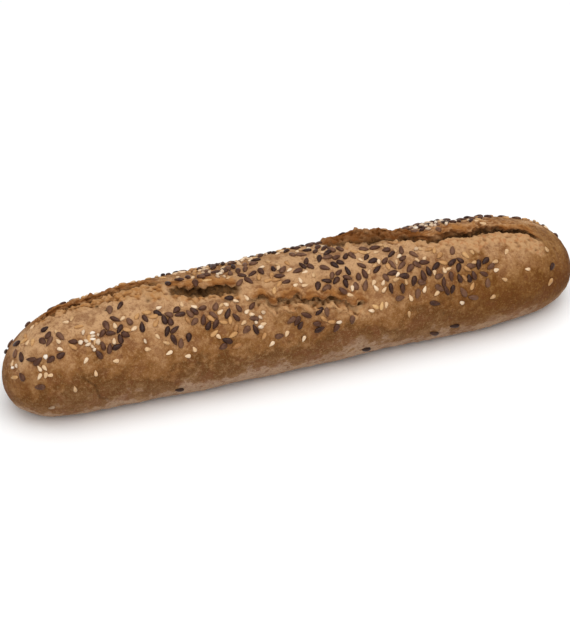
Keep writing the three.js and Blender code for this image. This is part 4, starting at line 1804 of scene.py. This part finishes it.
class StrewnTree:
    """The Geometry Nodes tree that lays one shape of seed on every seat."""

    sizes = ("Length", "Width", "Thickness")
    tone_draw = 9.0

    def __init__(self) -> None:
        """Builds the tree."""
        tree = bpy.data.node_groups.new("strewn_seeds", "GeometryNodeTree")
        self.tree = tree
        face = tree.interface
        face.new_socket("Seats", in_out="INPUT", socket_type="NodeSocketGeometry")
        face.new_socket("Seed", in_out="INPUT", socket_type="NodeSocketObject")
        for size in self.sizes:
            face.new_socket(size, in_out="INPUT", socket_type="NodeSocketFloat")
        face.new_socket("Unevenness", in_out="INPUT", socket_type="NodeSocketFloat")
        face.new_socket("Draw", in_out="INPUT", socket_type="NodeSocketInt")
        face.new_socket("Finish", in_out="INPUT", socket_type="NodeSocketMaterial")
        face.new_socket("Seeds", in_out="OUTPUT", socket_type="NodeSocketGeometry")
        bench = NodeBench(tree)
        given = bench.add("NodeGroupInput").outputs
        shape = bench.add("GeometryNodeObjectInfo", {"Object": given["Seed"]})
        lie = bench.add(
            "GeometryNodeInputNamedAttribute", {"Name": "lie"}, data_type="FLOAT_VECTOR"
        )
        turn = bench.add("FunctionNodeEulerToRotation", {"Euler": lie.outputs[0]})
        smallest = bench.math("SUBTRACT", 1.0, given["Unevenness"])
        largest = bench.math("ADD", 1.0, given["Unevenness"])
        scaled = []
        for number, size in enumerate(self.sizes):
            draw = bench.math("ADD", given["Draw"], float(number))
            luck = bench.add("FunctionNodeRandomValue", data_type="FLOAT")
            bench.feed(luck.inputs[2], smallest)
            bench.feed(luck.inputs[3], largest)
            bench.feed(luck.inputs["Seed"], draw)
            scaled.append(bench.times(given[size], luck.outputs[1]))
        scale = bench.add("ShaderNodeCombineXYZ", dict(enumerate(scaled)))
        laid = bench.add(
            "GeometryNodeInstanceOnPoints",
            {
                "Points": given["Seats"],
                "Instance": shape.outputs["Geometry"],
                "Rotation": turn.outputs[0],
                "Scale": scale.outputs[0],
            },
        )
        tone = bench.add("FunctionNodeRandomValue", data_type="FLOAT")
        bench.feed(tone.inputs["Seed"], bench.math("ADD", given["Draw"], self.tone_draw))
        stored = bench.add(
            "GeometryNodeStoreNamedAttribute",
            {"Geometry": laid.outputs["Instances"], "Name": "tone"},
            data_type="FLOAT",
            domain="INSTANCE",
        )
        bench.feed(stored.inputs["Value"], tone.outputs[1])
        real = bench.add("GeometryNodeRealizeInstances", {"Geometry": stored.outputs[0]})
        inputs = {"Geometry": real.outputs[0], "Material": given["Finish"]}
        painted = bench.add("GeometryNodeSetMaterial", inputs)
        bench.add("NodeGroupOutput", {0: painted.outputs[0]})

    def socket(self, name: str) -> str:
        """The identifier of an input."""
        sockets = self.tree.interface.items_tree
        return next(socket.identifier for socket in sockets if socket.name == name)

    def lay(
        self, name: str, seats: list[tuple[Vector, Matrix]], values: dict[str, object]
    ) -> bpy.types.Object:
        """Lays one seed on every seat and makes the result a plain mesh.

        Args:
            name: The piece's name.
            seats: Middle and turn of every seed.
            values: The tree's inputs by name.

        Returns:
            The piece.
        """
        middles = np.array([tuple(middle) for middle, _ in seats])
        holder = mesh_object(name + "_seats", middles / MM, [])
        lie = holder.data.attributes.new("lie", "FLOAT_VECTOR", "POINT")
        turns = np.array([tuple(turn.to_euler()) for _, turn in seats])
        lie.data.foreach_set("vector", turns.astype(np.float32).ravel())
        modifier = holder.modifiers.new("strewn", "NODES")
        modifier.node_group = self.tree
        for key, value in values.items():
            modifier[self.socket(key)] = value
        evaluated = holder.evaluated_get(bpy.context.evaluated_depsgraph_get())
        mesh = bpy.data.meshes.new_from_object(evaluated)
        holder.modifiers.remove(modifier)
        bpy.data.objects.remove(holder)
        mesh.name = name
        piece = bpy.data.objects.new(name, mesh)
        bpy.context.scene.collection.objects.link(piece)
        return piece


# The studio


@dataclass(frozen=True)
class Light:
    """A soft square light: where it hangs seen from the loaf, its size and its power in watts."""

    name: str
    azimuth: float
    elevation: float
    away: float
    size: float
    power: float


@dataclass
class Studio:
    """The pale floor, the soft lights and the camera at the photograph's angle."""

    azimuth: float = -19.0
    elevation: float = 38.0
    distance: float = 1.1
    target: tuple[float, float, float] = (0.0, 0.0, 0.024)
    picture_height: float = 630.0
    focal_pixels: float = 2310.0
    sensor: float = 36.0
    aim_right: float = -0.00371
    aim_up: float = -0.00476
    sight: float = 50.0
    floor_size: float = 8.0
    floor_colour: Colour = (0.96, 0.96, 0.96, 1.0)
    floor_roughness: float = 0.9
    floor_specular: float = 0.1
    lights: tuple[Light, ...] = (
        Light("key_light", 20, 78, 1.4, 1.6, 17),
        Light("fill_light", -40, 30, 1.8, 1.6, 6),
    )
    surround: Colour = (1.0, 1.0, 1.0, 1.0)
    surround_strength: float = 0.5

    def back(self, azimuth: float, elevation: float) -> Vector:
        """Direction from the target to a place at these angles."""
        a, e = math.radians(azimuth), math.radians(elevation)
        return Vector((math.sin(a) * math.cos(e), -math.cos(a) * math.cos(e), math.sin(e)))

    def place_camera(self) -> None:
        """Makes the camera and looks through it."""
        back = self.back(self.azimuth, self.elevation)
        turn = math.radians(self.azimuth)
        right = Vector((math.cos(turn), math.sin(turn), 0.0))
        up = back.cross(right)
        data = bpy.data.cameras.new("camera")
        data.sensor_width = self.sensor
        data.lens = self.focal_pixels / self.picture_height * self.sensor
        data.clip_end = self.sight
        camera = bpy.data.objects.new("camera", data)
        aim = Vector(self.target) + back * self.distance
        middle = aim + right * self.aim_right + up * self.aim_up
        facing = Matrix((right, up, back)).transposed().to_4x4()
        camera.matrix_world = Matrix.Translation(middle) @ facing
        bpy.context.scene.collection.objects.link(camera)
        bpy.context.scene.camera = camera

    def hang(self, light: Light) -> None:
        """Hangs one light that faces the loaf.

        Args:
            light: The light.
        """
        data = bpy.data.lights.new(light.name, "AREA")
        data.size = light.size
        data.energy = light.power
        lamp = bpy.data.objects.new(light.name, data)
        back = self.back(light.azimuth, light.elevation)
        lamp.location = back * light.away
        lamp.rotation_euler = back.to_track_quat("Z", "Y").to_euler()
        bpy.context.scene.collection.objects.link(lamp)

    def lay_floor(self) -> None:
        """Lays the plain pale floor."""
        half = self.floor_size / 2 / MM
        corners = half * np.array([(-1, -1, 0), (1, -1, 0), (1, 1, 0), (-1, 1, 0)], float)
        floor = mesh_object("floor", corners, [(0, 1, 2, 3)])
        material, _, shader = new_material("pale_floor")
        shader.inputs["Base Color"].default_value = self.floor_colour
        shader.inputs["Roughness"].default_value = self.floor_roughness
        shader.inputs["Specular IOR Level"].default_value = self.floor_specular
        floor.data.materials.append(material)

    def set_up(self) -> None:
        """Builds the whole studio."""
        self.lay_floor()
        for light in self.lights:
            self.hang(light)
        world = bpy.data.worlds.new("studio")
        world.use_nodes = True
        shade = next(node for node in world.node_tree.nodes if node.type == "BACKGROUND")
        shade.inputs["Color"].default_value = self.surround
        shade.inputs["Strength"].default_value = self.surround_strength
        bpy.context.scene.world = world
        bpy.context.scene.view_settings.view_transform = "Standard"
        self.place_camera()


# The pieces


class Shape(Enum):
    """The rings of each shape of topping, as place along it and share of its full width."""

    EGG = ((-0.44, 0.30), (-0.27, 0.68), (0.0, 0.97), (0.25, 0.95), (0.42, 0.58))
    TEARDROP = ((-0.43, 0.28), (-0.24, 0.62), (0.04, 0.94), (0.27, 0.96), (0.43, 0.60))
    PUFF = ((-0.44, 0.55), (-0.22, 0.80), (0.02, 1.08), (0.26, 0.78), (0.43, 0.52))


@dataclass(frozen=True)
class Scatter:
    """One piece of strewn toppings: its kind, shape, finish and draw of random numbers."""

    name: str
    topping: Topping
    shape: Shape
    finish: SeedFinish
    draw: int
    unevenness: float
    stands_proud: float
    lumpiness: float = 0.0


SEED_SIDES = 8

SCATTERS = (
    Scatter(
        "linseeds", Topping.LINSEED, Shape.EGG,
        SeedFinish(
            "linseed_skin", srgb(43, 20, 12), srgb(77, 46, 30), srgb(107, 73, 52),
            roughness=0.42, specular=0.2,
        ),
        draw=11, unevenness=0.16, stands_proud=0.22,
    ),
    Scatter(
        "golden_linseeds", Topping.GOLDEN, Shape.EGG,
        SeedFinish(
            "golden_skin", srgb(150, 102, 56), srgb(182, 134, 82), srgb(204, 162, 108),
            roughness=0.5, specular=0.3,
        ),
        draw=37, unevenness=0.14, stands_proud=0.18,
    ),
    Scatter(
        "sesame_seeds", Topping.SESAME, Shape.TEARDROP,
        SeedFinish(
            "sesame_skin", srgb(184, 142, 94), srgb(210, 174, 132), srgb(226, 199, 166),
            roughness=0.55, specular=0.3,
        ),
        draw=23, unevenness=0.12, stands_proud=0.2,
    ),
    Scatter(
        "grain_bits", Topping.GRAIN, Shape.PUFF,
        SeedFinish(
            "grain_skin", srgb(190, 158, 124), srgb(214, 190, 162), srgb(236, 222, 204),
            roughness=0.8, specular=0.1,
        ),
        draw=53, unevenness=0.38, stands_proud=0.3, lumpiness=0.3,
    ),
)


def main() -> None:
    """Builds the loaf, its toppings, the floor, the lights and the camera."""
    form = LoafForm()
    skin_grain = SkinGrain()
    crust = Crust(form).build()
    CrustFinish().dress(crust, skin_grain)
    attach(crust, BODY)
    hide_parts("loaf")
    LOG.info("crust: %d faces", len(crust.data.polygons))

    strewn = Strewing(form).strew()
    seats = SeedSeats(form, crust)
    tree = StrewnTree()
    for scatter in SCATTERS:
        kind = scatter.topping.value
        seeds = strewn[kind.name]
        shape_name = scatter.name + "_shape"
        piece = tree.lay(
            scatter.name,
            [seats.seat(seed, scatter.stands_proud * kind.thickness) for seed in seeds],
            {
                "Seed": seed_shape(shape_name, scatter.shape.value, SEED_SIDES, scatter.lumpiness),
                "Length": kind.length * MM,
                "Width": kind.width * MM,
                "Thickness": kind.thickness * MM,
                "Unevenness": scatter.unevenness,
                "Draw": scatter.draw,
                "Finish": scatter.finish.make(skin_grain),
            },
        )
        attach(piece, BODY)
        LOG.info("%s: %d seeds, %d faces", scatter.name, len(seeds), len(piece.data.polygons))

    Studio().set_up()


if __name__ == "__main__":
    logging.basicConfig(level=logging.INFO, format="%(name)s: %(message)s")
    main()
